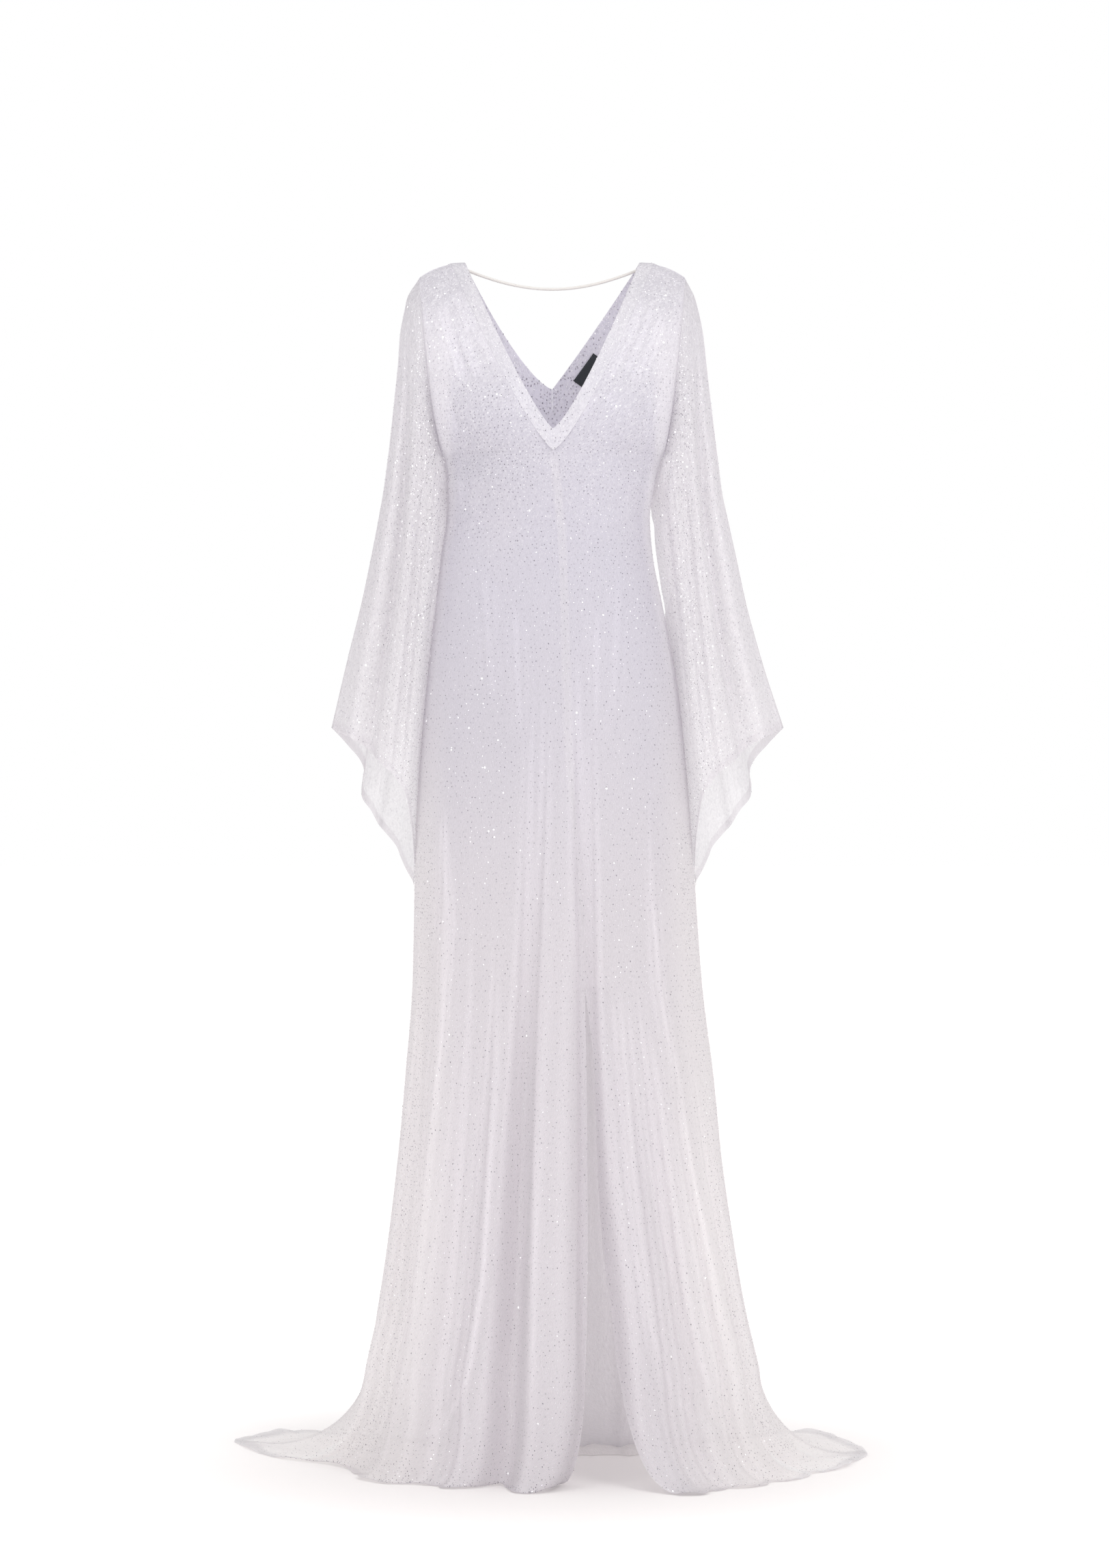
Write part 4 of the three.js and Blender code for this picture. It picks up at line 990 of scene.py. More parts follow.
def back_rows():
    shares = np.linspace(0, 1, 2 * BACK_HALF - 1)
    lower = lower_rows(shares, lambda height: 90.0, lambda height: 270.0)
    half = np.linspace(1, 0, BACK_HALF)
    bridge = []
    for share in np.linspace(0, 1, BRIDGE_ROWS):
        rise = np.float64(share * BACK_TIP_RISE)
        arm_x, _, arm_height = armhole_point(rise, 1)
        inner_height = mix(UNDERARM_HEIGHT, BACK_NECK["band_tip"], share)
        x, height = mix(0, arm_x, half), mix(inner_height, arm_height, half)
        left = np.stack([x, yoke_depth(x, height, 1), height], axis=-1)
        right = left[::-1][1:] * np.array([-1, 1, 1])
        bridge.append(np.concatenate([left, right]))
    below_tip = join_rows(lower, np.array(bridge))
    sides = []
    for side in (1, -1):
        rows = yoke_rows(BACK_NECK, side, np.linspace(0, 1, BACK_SIDE_ROWS), half, BACK_TIP_RISE)
        rows[..., 0] *= side
        sides.append(rows if side > 0 else rows[:, ::-1])
    return below_tip, *sides


def back_panel():
    below_tip, left, right = back_rows()
    top = below_tip[-1:]
    left = np.concatenate([top[:, :BACK_HALF], left[1:]])
    right = np.concatenate([top[:, BACK_HALF - 1:], right[1:]])
    return below_tip, left, right


below_mm, back_left_mm, back_right_mm = back_panel()
below_mm, below_out = dress_panel(below_mm, BACK_CREASES)
back_left_mm[0] = below_mm[-1, :BACK_HALF]
back_right_mm[0] = below_mm[-1, BACK_HALF - 1:]
back_parts = [grid_mesh("back_knit", settle(below_mm), body_knit, look=body_look(below_mm, below_out))]
back_sides = []
for name, points in (("back_left", back_left_mm), ("back_right", back_right_mm)):
    normals = grid_normals(points)
    normals = normals * np.sign(normals[..., 1].mean())
    push = creased(BACK_CREASES, points[..., 0], points[..., 2])
    push[0] = 0
    points = points + normals * push[..., None]
    back_sides.append((points, normals))
    back_parts.append(grid_mesh(name, settle(points), body_knit, look=body_look(points, normals)))


def join_pieces(parts):
    bpy.ops.object.select_all(action="DESELECT")
    for part in parts:
        part.select_set(True)
    bpy.context.view_layer.objects.active = parts[0]
    bpy.ops.object.join()
    return parts[0]


def weld(piece, distance):
    modifier = piece.modifiers.new("weld", "WELD")
    modifier.merge_threshold = distance
    bpy.context.view_layer.objects.active = piece
    bpy.ops.object.modifier_apply(modifier=modifier.name)


back = join_pieces(back_parts)
weld(back, 0.00005)
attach(back, "root")
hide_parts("back")
print("back:", len(back.data.vertices), "points")

# %% [markdown]
# ## The sleeves
# Each sleeve is a wide tube that starts at the armhole and falls to a slanted cuff, long under
# the arm. The tube is worked out round its ring and along its length. Long folds start at the
# shoulder, where the fullness is caught in, and widen towards the cuff.

# %% Folds of the sleeves
SLIGHTER = 0.4
SLEEVE_FOLDS = [
    (22, 22, 6), (46, 19, -7), (74, 20, 6), (98, 17, -5), (124, 18, 5), (238, 20, 6),
    (264, 17, -5), (296, 20, 6), (326, 17, -6),
]
SLIGHT_SLEEVE_FOLDS = [
    (10, 5, 2.5, 0.1, 0.9), (16, 4, -2.5, 0.05, 0.7), (31, 5, 2.6, 0.0, 0.8), (37, 4, -2.2, 0.1, 0.6),
    (56, 5, 3.0, 0.02, 0.9), (62, 4, -2.6, 0.0, 0.7), (70, 4, 2.0, 0.2, 1.1), (84, 5, -2.8, 0.02, 0.8),
    (90, 4, 2.2, 0.0, 0.6), (106, 5, 2.6, 0.05, 0.9), (114, 4, -2.4, 0.1, 0.8), (132, 6, -2.6, 0.1, 1.1),
    (146, 6, 2.6, 0.1, 1.0), (160, 6, -2.2, 0.2, 1.1), (196, 6, 2.4, 0.2, 1.1), (214, 6, -2.6, 0.1, 1.0),
    (228, 5, 2.4, 0.1, 0.9), (248, 5, -2.4, 0.05, 0.8), (256, 4, 2.4, 0.0, 0.7), (276, 5, 2.6, 0.05, 0.9),
    (286, 5, -2.4, 0.0, 0.7), (308, 5, -2.8, 0.02, 0.9), (316, 4, 2.2, 0.0, 0.6), (338, 5, 2.6, 0.05, 0.9),
    (350, 5, -2.4, 0.05, 0.8),
]


def body_reach(height, y, side):
    at = np.maximum(height, FLARE_HEIGHT)
    seam = read(BODY, "height", "seam", at)
    half = body_half(at, side)
    front, back_depth = read(BODY, "height", "front", at), read(BODY, "height", "back", at)
    depth = np.where(y < seam, front + seam, back_depth - seam)
    ratio = np.minimum(1, np.abs(y - seam) / depth)
    return half * (1 - ratio**SECTION_POWER) ** (1 / SECTION_POWER)


TUCK_DEPTH = 18


def sleeve_tuck(angle, along, side, height):
    """How far the inner side is drawn in under the arm. A stretch of the left one stands off."""
    stands_off = ease(0.11, 0.17, along) - ease(0.34, 0.44, along)
    share = (1 - stands_off if side > 0 else 1) * (1 - ease(0.7, 0.98, along))
    lower = ease(UNDERARM_HEIGHT, UNDERARM_HEIGHT - 60, height)
    return TUCK_DEPTH * share * fold_shape(wrap(angle - 215), 45, 45) * lower


def sleeve_push(angle, along):
    """How far the folds, deep and slight, stand out round the sleeve."""
    push = sum(depth * fold_shape(wrap(angle - at), reach, reach) for at, reach, depth in SLEEVE_FOLDS)
    push = push * ease(0.04, 0.55, along) * mix(1, 0.6, ease(0.8, 1, along))
    for at, reach, depth, low, high in SLIGHT_SLEEVE_FOLDS:
        grown = ease(low, low + 0.18, along) * (1 - 0.8 * ease(high - 0.25, high, along))
        waver = 5 * np.sin(3 * along + at)
        push = push + SLIGHTER * depth * grown * fold_shape(wrap(angle - at - waver), reach, reach)
    return push


print(len(SLEEVE_FOLDS), "deep folds and", len(SLIGHT_SLEEVE_FOLDS), "slight ones in each sleeve")

# %% Shape the sleeves
# The sleeve laps over the armhole, and keeps clear of the body by these distances near the arm
# and lower down. HUG is how closely it follows the body just under the arm.
ARMHOLE_LAP = 0.7
CLEAR_ABOVE, CLEAR_BELOW = 3.4, 1.2
HUG = 0.92


def sleeve_rows(side, rows=150, columns=168):
    along = np.linspace(0, 1, rows)[:, None] ** 1.1
    angle = (np.arange(columns) * 360 / columns)[None, :]
    turn = np.radians(angle)
    rise = (1 + np.cos(turn)) / 2
    front_x, front_y, start_z = armhole_point(rise, 1)
    start_y = np.where(np.sin(turn) > 0, -front_y, front_y) * (1 + ARMHOLE_LAP / ARMHOLE_HALF_DEPTH)
    bow = read(BOW, "along", "right" if side < 0 else "left", along)
    bowed = rise**2 * bow + (1 - rise) ** 2 * read(BOW, "along", "under", along)
    push = sleeve_push(angle, along)
    z = mix(start_z, read(CUFF, "angle", "height", angle), along)
    x = mix(front_x + ARMHOLE_LAP, read(CUFF, "angle", "x", angle), along) + bowed + push * np.cos(turn)
    x = x - sleeve_tuck(angle, along, side, z)
    y = mix(start_y, read(CUFF, "angle", "y", angle), along) - push * np.sin(turn)
    body_x = body_reach(np.minimum(z, UNDERARM_HEIGHT), y, side)
    beside = np.where(z < UNDERARM_HEIGHT + 1, body_x, 0)
    hug = ease(0, 0.03, along) * (1 - ease(0.1, 0.16, along)) * fold_shape(wrap(angle - 180), 75, 75)
    nearest = beside + mix(CLEAR_ABOVE, CLEAR_BELOW, ease(0.3, 0.6, along))
    x = np.maximum(mix(x, nearest, HUG * np.where(beside > 0, hug, 0)), nearest)
    points = np.stack(np.broadcast_arrays(x, y, z), axis=-1)
    return points * np.array([side, 1, 1])


# The sleeve on the wearer's right is lit by the weaker lamp, and is a little darker.
FILL_SIDE = 0.972


def sleeve_look(points, normals):
    """Whiter and more sheer towards the cuff. Painted shade darkens its underside and the top
    at the shoulder, and painted light makes it palest where it lies beside the body.
    """
    along = np.linspace(0, 1, len(points))[:, None]
    angle = (np.arange(points.shape[1]) * 360 / points.shape[1])[None, :]
    height, upper = points[..., 2], below(0.35, 0.6, along)
    # Painted shade: the underside is cooler and darker, towards the cool colour.
    inner = fold_shape(wrap(angle - 160), 75, 75)
    share = np.clip(0.55 + 0.5 * along - 0.5 * inner * (1 - 0.6 * along), 0, 1)
    share = mix(0.6 * ease(1340, 1500, height), share, ease(0.0, 0.22, along))
    colour = mixed(COOL, PALE, share) * fold_light(points, normals, True, 1.6)[..., None]
    # Painted light where the sleeve lies beside the body, in the cleft that would be in shade.
    beside_body = fold_shape(wrap(angle - 180), 80, 80) * upper
    colour = np.minimum(mixed(colour, PALE * 1.14, 0.85 * beside_body), 1)
    # Painted shade at the top of the shoulder, to temper the lamp overhead.
    colour = colour * (1 - 0.10 * ease(1490, 1560, height))[..., None]
    if points[..., 0].mean() < 0:
        colour = colour * FILL_SIDE
    cover = mix(0.95, 0.66, ease(0.2, 1, along)) - 0.4 * upper * fold_shape(wrap(angle - 180), 50, 50)
    return np.concatenate([colour, cover[..., None]], axis=-1)


def outward(points):
    """Normals of a tube of cloth, all looking out of it."""
    normals = grid_normals(points, around=True)
    middle = points.mean(axis=1, keepdims=True)
    return normals * np.sign(((points - middle) * normals).sum(axis=-1).mean())


sleeves, sleeves_out = {}, {}
for side, word in ((-1, "right"), (1, "left")):
    sleeves[word] = sleeve_rows(side)
    sleeves_out[word] = outward(sleeves[word])
    look = sleeve_look(sleeves[word], sleeves_out[word])
    piece = grid_mesh(f"sleeve_{word}_knit", settle(sleeves[word]), sleeve_knit, around=True, look=look)
    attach(piece, "root")
    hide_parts(f"sleeve_{word}")
    print(piece.name, len(piece.data.vertices), "points")

# %% [markdown]
# ## The neck bands
# A strip of the same knit is folded double along each side of both Vs, and mitred at the tips.
# Being double it is whiter and almost opaque. Each band here is a thin closed strip with a
# rounded fold along its neck edge, because that edge catches the light.

# %% Shape the bands
# The slope of the yoke is read this far to either side of a point.
PROBE = 1.0
BAND_STEPS, BAND_ACROSS, BAND_THICKNESS, BAND_COVER = 90, 11, 0.9, 0.985


def band_normals(x, height, neck, rise):
    """Which way the yoke faces, read from its depth a step to either side of each point."""
    face = neck["face"]
    slope_x = (yoke_depth(x + PROBE, height, face) - yoke_depth(x - PROBE, height, face)) / 2
    slope_up = (yoke_depth(x, height + PROBE, face) - yoke_depth(x, height - PROBE, face)) / 2
    normal = np.stack([-slope_x, np.full(len(x), float(face)), -slope_up], axis=-1)
    normal[height > shoulder_height(x) - PROBE, 1] = 0
    normal[height > shoulder_height(x) + PROBE / 2] = (0, 0, 1)
    if rise == 0:
        normal[:, 0] = 0
    return normal / np.maximum(np.linalg.norm(normal, axis=-1, keepdims=True), 1e-6)


def band_rows(neck, side):
    share = (1 - np.cos(np.linspace(0, np.pi, BAND_ACROSS))) / 2
    puff = BAND_THICKNESS / 2 * np.sin(np.pi * np.clip(share, 0.02, 0.98)) ** 0.35
    outer, inner = [], []
    for rise in np.linspace(0, 1, BAND_STEPS):
        x, height = neck_edge(neck, side, rise, share)
        x = np.maximum(x - np.where(share == 1, 0.15, 0), 0.12)
        depth = np.maximum(yoke_depth(x, height, neck["face"]), LEAST_DEPTH)
        normal = band_normals(x, height, neck, rise)
        middle = np.stack([x, neck["face"] * depth, height], axis=-1)
        outer.append(middle + normal * puff[:, None])
        inner.append(middle - normal * puff[:, None])
    ring = np.concatenate([np.array(outer), np.array(inner)[:, ::-1]], axis=1)
    return ring * np.array([side, 1, 1])


bands, band_sides = [], {}
for neck, where in ((FRONT_NECK, "front"), (BACK_NECK, "back")):
    for side, word in ((-1, "right"), (1, "left")):
        points = band_rows(neck, side)
        middle = points.shape[1] // 2
        look = np.full((*points.shape[:2], 4), BAND_COVER)
        high = ease(1340, 1520, points[..., 2])
        look[..., :3] = mixed(mixed(LILAC, PALE, 0.6 * high), DOUBLED, 0.6 - 0.3 * high)
        # Painted shade at the top of the shoulders, to temper the lamp overhead.
        look[..., :3] *= (1 - 0.10 * ease(1480, 1570, points[..., 2]))[..., None]
        # The inner half of the back bands gets the painted light and shade of the inside as well.
        if where == "back":
            look[:, middle:, :3] = INSIDE_LIGHT_AND_SHADE
        piece = grid_mesh(f"band_{where}_{word}", settle(points), band_knit, around=True, look=look)
        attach(piece, "root")
        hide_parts(f"neckband_{where}_{word}")
        bands.append(piece)
        band_sides[where, word] = points[:, :middle], points[:, middle:]
print(len(bands), "bands")

# %% [markdown]
# ## Hems, facings and seams
# Where cloth is turned in and sewn it is double, and in a sheer knit that shows as a whiter line.
# A strip of a second layer just inside the first does the same here as on the real gown. Beside
# the centre seam the outer cloth was given a lighter colour too, as the strip alone is faint.

# %% Strips of a second layer
def second_layer(name, points, normals, depth=0.7, around=False, look=(*PALE, 0.62)):
    piece = grid_mesh(name, settle(points - normals * depth), turned_knit, around, look)
    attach(piece, "root")
    return piece


def fine_hem(points, normals, reach, steps=8):
    """The lowest part of a panel again, in finer rows."""
    _, v = grid_arcs(points)
    rows = np.interp(np.linspace(0, reach, steps), v, np.arange(len(v)))
    low = np.floor(rows).astype(int)
    share = (rows - low)[:, None, None]
    high = np.minimum(low + 1, len(v) - 1)
    return mix(points[low], points[high], share), mix(normals[low], normals[high], share)


HEM_DEPTH = 13.0
hems = []
for name, points, normals in (
    ("hem_front_right", front_right_mm, front_right_out),
    ("hem_front_left", front_left_mm, front_left_out),
    ("hem_back", below_mm, below_out),
):
    hems.append(second_layer(name, *fine_hem(points, normals, HEM_DEPTH)))
print("hems:", [piece.name for piece in hems])

# %% The slit's facings and the centre seam
RIGHT_FACING, LEFT_FACING = 19, 30
SEAM_COLUMNS = 4


def columns_up_to(points, reach, from_end):
    """The columns that lie within a reach of one edge."""
    u, _ = grid_arcs(points)
    width = np.median(u[30:150, -1]) / (points.shape[1] - 1)
    count = max(3, int(reach / width) + 1)
    return slice(-count, None) if from_end else slice(0, count)


slit_rows = slice(0, len(SWEEPS) + int(np.searchsorted(SKIRT_HEIGHTS, SLIT_TOP)))
for name, points, normals, reach in (
    ("slit_facing_right", front_right_mm, front_right_out, RIGHT_FACING),
    ("slit_facing_left", front_left_mm, front_left_out, LEFT_FACING),
):
    part = slit_rows, columns_up_to(points, reach, name == "slit_facing_right")
    facing = second_layer(name, points[part], normals[part])
    print(facing.name, len(facing.data.vertices), "points")
above_slit = slice(slit_rows.stop - 2, len(SWEEPS) + len(SKIRT_HEIGHTS) + EASED - 1)


def seam_strip(name, first, second, depth=0.9):
    """A strip of turned-in cloth behind a seam: a few columns from each of its two sides."""
    rows = np.concatenate([first[0], second[0]], axis=1)
    normals = np.concatenate([first[1], second[1]], axis=1)
    return second_layer(name, rows, normals, depth)


at_right, at_left = (above_slit, slice(-SEAM_COLUMNS, None)), (above_slit, slice(0, SEAM_COLUMNS))
centre_seam = seam_strip(
    "centre_seam",
    (front_right_mm[at_right], front_right_out[at_right]),
    (front_left_mm[at_left], front_left_out[at_left]),
)
print(centre_seam.name, len(centre_seam.data.vertices), "points")

# %% Side seams
lower = slice(0, len(SWEEPS) + len(SKIRT_HEIGHTS))
first, last = (lower, slice(0, 3)), (lower, slice(-3, None))
side_seams = [
    seam_strip("side_seam_right", (below_mm[last], below_out[last]),
               (front_right_mm[first], front_right_out[first])),
    seam_strip("side_seam_left", (front_left_mm[last], front_left_out[last]),
               (below_mm[first], below_out[first])),
]
print("side seams:", [piece.name for piece in side_seams])

# %% Rolled seams at the armholes and the shoulders
SEAM_SIDES, SKEW = 6, (0.13, 0.31, 0.94)
ARMHOLE_STEPS, SHOULDER_STEPS = 97, 24


def tube(name, path, radius, material):
    """A thin round tube along a path. SKEW is a direction that no path here follows."""
    path = np.array(path)
    along = np.gradient(path, axis=0)
    along /= np.linalg.norm(along, axis=1, keepdims=True)
    across = np.cross(along, SKEW)
    across /= np.linalg.norm(across, axis=1, keepdims=True)
    up = np.cross(along, across)
    turn = np.arange(SEAM_SIDES) * 2 * np.pi / SEAM_SIDES
    ring = across[:, None] * np.cos(turn)[None, :, None] + up[:, None] * np.sin(turn)[None, :, None]
    piece = grid_mesh(name, settle(path[:, None] + ring * radius), material, around=True)
    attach(piece, "root")
    return piece


armhole_seams = []
for side, word in ((-1, "right"), (1, "left")):
    turn = np.linspace(0, 2 * np.pi, ARMHOLE_STEPS)
    rise = (1 + np.cos(turn)) / 2
    x, y, z = armhole_point(rise, 1)
    path = np.stack([side * (x + 0.3), np.where(np.sin(turn) > 0, -y, y), z], axis=-1)
    seam = tube(f"armhole_seam_{word}", path, 0.5, turned_knit)
    x = np.linspace(NECK_HALF_WIDTH + 2, SHOULDER_TIP_HALF_WIDTH, SHOULDER_STEPS)
    path = np.stack([side * x, np.zeros(SHOULDER_STEPS), shoulder_height(x) - 0.3], axis=-1)
    shoulder = tube(f"shoulder_seam_{word}", path, 1.0, turned_knit)
    armhole_seams += [seam, shoulder]
print(len(armhole_seams), "rolled seams")

# %% Cuff hems
CUFF_HEM_DEPTH, CUFF_HEM_STEPS = 11, 7
for word in ("right", "left"):
    from_cuff = sleeves[word][::-1], sleeves_out[word][::-1]
    lower_part, lower_out = fine_hem(*from_cuff, CUFF_HEM_DEPTH, CUFF_HEM_STEPS)
    hems.append(second_layer(f"hem_sleeve_{word}", lower_part, lower_out, 0.7, around=True))
print("cuff hems:", [piece.name for piece in hems[-2:]])

# %% The back's turned-in hem, which lies in small crinkles behind the slit
HEM_ROLL = {"height": 9.0, "depth": 48.0, "reach": 230.0, "rows": 9}
ROLL_LOOK = (0.96, 0.935, 0.93, 0.98)


def hem_roll(points):
    edge = points[0]
    fade = 1 - ease(0.6, 1.0, np.abs(edge[:, 0]) / HEM_ROLL["reach"])
    x = edge[:, 0]
    crinkle = np.sin(x / 7.5) + 0.7 * np.sin(x / 3.9 + 1.2) + 0.5 * np.sin(x / 17)
    rows = []
    for up in np.linspace(0, 1, HEM_ROLL["rows"]):
        row = edge.copy()
        bulge = np.sin(np.pi * up) ** 0.7
        row[:, 1] -= (HEM_ROLL["depth"] + 3.0 * crinkle) * up * fade + 1.0
        row[:, 2] = SWEEP["rest"] + bulge * (HEM_ROLL["height"] + 1.6 * crinkle) * fade
        rows.append(row)
    kept = fade > 0.02
    return np.array(rows)[:, kept]


roll = grid_mesh("hem_roll_back", settle(hem_roll(below_mm)), turned_knit, look=ROLL_LOOK)
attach(roll, "root")
hems.append(roll)
print("the back's hem roll:", len(roll.data.vertices), "points")

# %% Painted light and shade on the wrong side of the back, seen through the V
# The sheet's cool lilac is painted shade, lightened by painted light through the sheer back.
# Below the V the wrong side shows for a few rows only, and fades in over most of them.
WRONG_SIDE_ROWS, WRONG_SIDE_FADE, WRONG_SIDE_COVER = 16, 12, 0.75
top_mm, top_out = below_mm[-WRONG_SIDE_ROWS:], below_out[-WRONG_SIDE_ROWS:]
inside_parts = []
for name, (points, normals) in zip(
    ("inside_middle", "inside_left", "inside_right"), [(top_mm, top_out), *back_sides]
):
    faded = np.full((*points.shape[:2], 4), WRONG_SIDE_COVER)
    faded[..., :3] = INSIDE_LIGHT_AND_SHADE
    if name == "inside_middle":
        faded[..., 3] *= ease(0, WRONG_SIDE_FADE, np.arange(len(points)))[:, None]
    inside_parts.append(second_layer(name, points, normals, 0.6, look=faded))
back_inside = join_pieces(inside_parts)
back_inside.name = "back_inside_light_and_shade"
print("wrong side:", len(back_inside.data.vertices), "points")

# %% [markdown]
# ## The sequins
# Thousands of tiny flat sequins are stuck to the knit in staggered lines. They are real little
# hexagons here, because each one has to lean its own way to flash or to stay dark. They are
# spread by stepping along the cloth in millimetres, and every sheet of them is one mesh.

# %% Sequin material
def make_foil():
    material, nodes, links, shader = new_material("sequin_foil")
    tone = nodes.new("ShaderNodeAttribute")
    tone.attribute_name = "tone"
    links.new(tone.outputs["Color"], shader.inputs["Base Color"])
    place = nodes.new("ShaderNodeTexCoord").outputs["Object"]
    fine = noise(nodes, links, place, scale=1200, detail=2)
    links.new(spread(nodes, links, fine, 0.16, 0.34), shader.inputs["Roughness"])
    shader.inputs["Metallic"].default_value = 0.75
    return material


foil = make_foil()
print("material:", foil.name)

# %% Spread sequins over a grid
JITTER_ALONG, JITTER_ACROSS, LINE_STEP = 0.2, 0.14, 0.87


def grid_spots(points, spacing, seed, around=False):
    """Places to put sequins, as fractions of rows and columns, in staggered lines."""
    maker = np.random.default_rng(seed)
    u, v = grid_arcs(points, around)
    spots, at, line = [], spacing(0.0) / 2, 0
    while at < v[-1]:
        row = np.interp(at, v, np.arange(len(v)))
        this, following = int(row), min(int(row) + 1, len(v) - 1)
        arc = mix(u[this], u[following], row - this)
        pitch = spacing(at / v[-1])
        along = np.arange(pitch * (0.25 + 0.5 * (line % 2)), arc[-1], pitch)
        along = along + maker.normal(0, JITTER_ALONG * pitch, len(along))
        column = np.interp(along, arc, np.arange(len(arc)))
        rows_deep = JITTER_ACROSS * pitch / max(v[following] - v[this], 0.5)
        spots.append(np.stack([row + maker.normal(0, rows_deep, len(along)), column], axis=-1))
        at += pitch * LINE_STEP
        line += 1
    spots = np.concatenate(spots)
    spots[:, 0] = np.clip(spots[:, 0], 0, len(v) - 1.001)
    spots[:, 1] = np.clip(spots[:, 1], 0, u.shape[1] - 1.001)
    return spots


def sample(grid, spots, around=False):
    if around:
        grid = np.concatenate([grid, grid[:, :1]], axis=1)
    low = np.floor(spots).astype(int)
    share = spots - low
    a = mix(grid[low[:, 0], low[:, 1]], grid[low[:, 0], low[:, 1] + 1], share[:, 1:])
    b = mix(grid[low[:, 0] + 1, low[:, 1]], grid[low[:, 0] + 1, low[:, 1] + 1], share[:, 1:])
    return mix(a, b, share[:, :1])


print("lines of sequins are", LINE_STEP, "of their spacing apart")

# %% Helpers for many small faces
def unit(vectors):
    return vectors / np.linalg.norm(vectors, axis=-1, keepdims=True)


def small_faces(name, corners, material):
    """One mesh of many small flat faces, from the corners of each."""
    count, sides = corners.shape[:2]
    faces = np.arange(count * sides).reshape(-1, sides)
    piece = mesh_piece(name, settle(corners).reshape(-1, 3).tolist(), faces.tolist(), material)
    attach(piece, "root")
    return piece


print("helpers:", unit.__name__, small_faces.__name__)

# %% Build a sheet of sequins
DARK, GREY, SILVER = np.array([(0.20, 0.19, 0.23), (0.44, 0.42, 0.47), (0.95, 0.94, 0.98)])
# This share of the spots gets a sequin, and each one leans by about this much.
KEPT_SHARE, LEAN = 0.86, 0.16


def sequin_tones(centres, maker, dark=0.28, silver=0.32):
    """Most sequins blend in. A few look dark, above all where the bodice is in shade."""
    x, height = centres[:, 0], centres[:, 2]
    shade = np.exp(-(((x + 88) / 60) ** 2) - ((height - 1330) / 90) ** 2)
    high = ease(1400, 1480, height)
    pick = maker.uniform(0, 1, len(centres))
    # Painted shade: more dark sequins where the bodice is in shade, fewer near the shoulders.
    darks = dark * (1 - 0.85 * high) + 0.75 * shade
    tone = np.where((pick < darks)[:, None], DARK, GREY)
    # Painted highlights: more silver sequins near the shoulders, fewer in the bodice's shade.
    tone = np.where((pick > 1 - silver - 0.45 * high + 0.2 * shade)[:, None], SILVER, tone)
    return tone * maker.uniform(0.85, 1.1, (len(centres), 1))


def sequin_sheet(
    name, points, normals, spacing, seed, around=False, size=1.0, dark=0.28, silver=0.32, lift=0.5
):
    spots = grid_spots(points, spacing, seed, around)
    maker = np.random.default_rng(seed + 1)
    spots = spots[maker.uniform(0, 1, len(spots)) < KEPT_SHARE]
    centre = sample(points, spots, around)
    normal = sample(normals, spots, around)
    normal = unit(normal + maker.normal(0, LEAN, normal.shape))
    side = unit(np.cross(normal, [0.0, 0.0, 1.0] + maker.normal(0, 0.3, normal.shape)))
    up = np.cross(side, normal)
    turn = np.arange(6) * np.pi / 3
    width = maker.uniform(0.30, 0.54, len(centre)) * size
    length = width * maker.uniform(1.2, 2.0, len(centre))
    rim = (side[:, None] * (np.cos(turn) * width[:, None])[..., None]
           + up[:, None] * (np.sin(turn) * length[:, None])[..., None])
    piece = small_faces(name, centre[:, None] + normal[:, None] * lift + rim, foil)
    tone = np.clip(sequin_tones(centre, maker, dark, silver), 0, 1)
    colours = np.concatenate([np.repeat(tone, 6, axis=0), np.ones((len(centre) * 6, 1))], axis=1)
    layer = piece.data.color_attributes.new("tone", "FLOAT_COLOR", "POINT")
    layer.data.foreach_set("color", colours.reshape(-1))
    print(name, len(centre), "sequins")
    return piece


# %% Sequins on the outside and the inside of the body
def skirt_spacing(share):
    return 7.6 - 1.8 * float(ease(0.5, 0.85, share)) - 1.4 * float(1 - ease(0, 0.10, share))


def evenly(pitch):
    return lambda share: pitch


EVERY_6_MM = evenly(6.0)
WRONG_SIDE_SEQUINS = {"size": 1.7, "silver": 0.1}
INSIDE_LIFT = 1.3
sequin_sheets = [
    sequin_sheet("sequins_front_right", front_right_mm, front_right_out, skirt_spacing, 21),
    sequin_sheet("sequins_front_left", front_left_mm, front_left_out, skirt_spacing, 22),
    sequin_sheet("sequins_back", below_mm, below_out, skirt_spacing, 23),
]
for word, (points, normals) in zip(("left", "right"), back_sides):
    sequin_sheets += [
        sequin_sheet(f"sequins_back_{word}", points, normals, EVERY_6_MM, 24),
        sequin_sheet(f"sequins_inside_{word}", points, -normals, EVERY_6_MM, 25, dark=0.15,
                     lift=INSIDE_LIFT, **WRONG_SIDE_SEQUINS),
    ]
sequin_sheets.append(sequin_sheet("sequins_inside_middle", top_mm, -top_out, EVERY_6_MM, 26, dark=0.0,
                                  lift=INSIDE_LIFT, **WRONG_SIDE_SEQUINS))
print(len(sequin_sheets), "sheets of sequins on the body")

# %% Sequins on the bands
for (where, word), (outer, inner) in band_sides.items():
    face = -1 if where == "front" else 1
    normals = grid_normals(outer)
    normals = normals * np.sign((normals[..., 1] * face).mean())
    sequin_sheets.append(sequin_sheet(
        f"sequins_band_{where}_{word}", outer, normals, EVERY_6_MM, 27, dark=0.2, silver=0.5))
    if where == "back":
        normals = grid_normals(inner)
        normals = normals * -np.sign(normals[..., 1].mean())
        sequin_sheets.append(sequin_sheet(
            f"sequins_band_inside_{word}", inner, normals, EVERY_6_MM, 29, dark=0.0,
            **WRONG_SIDE_SEQUINS))
print(len(sequin_sheets), "sheets of sequins so far")

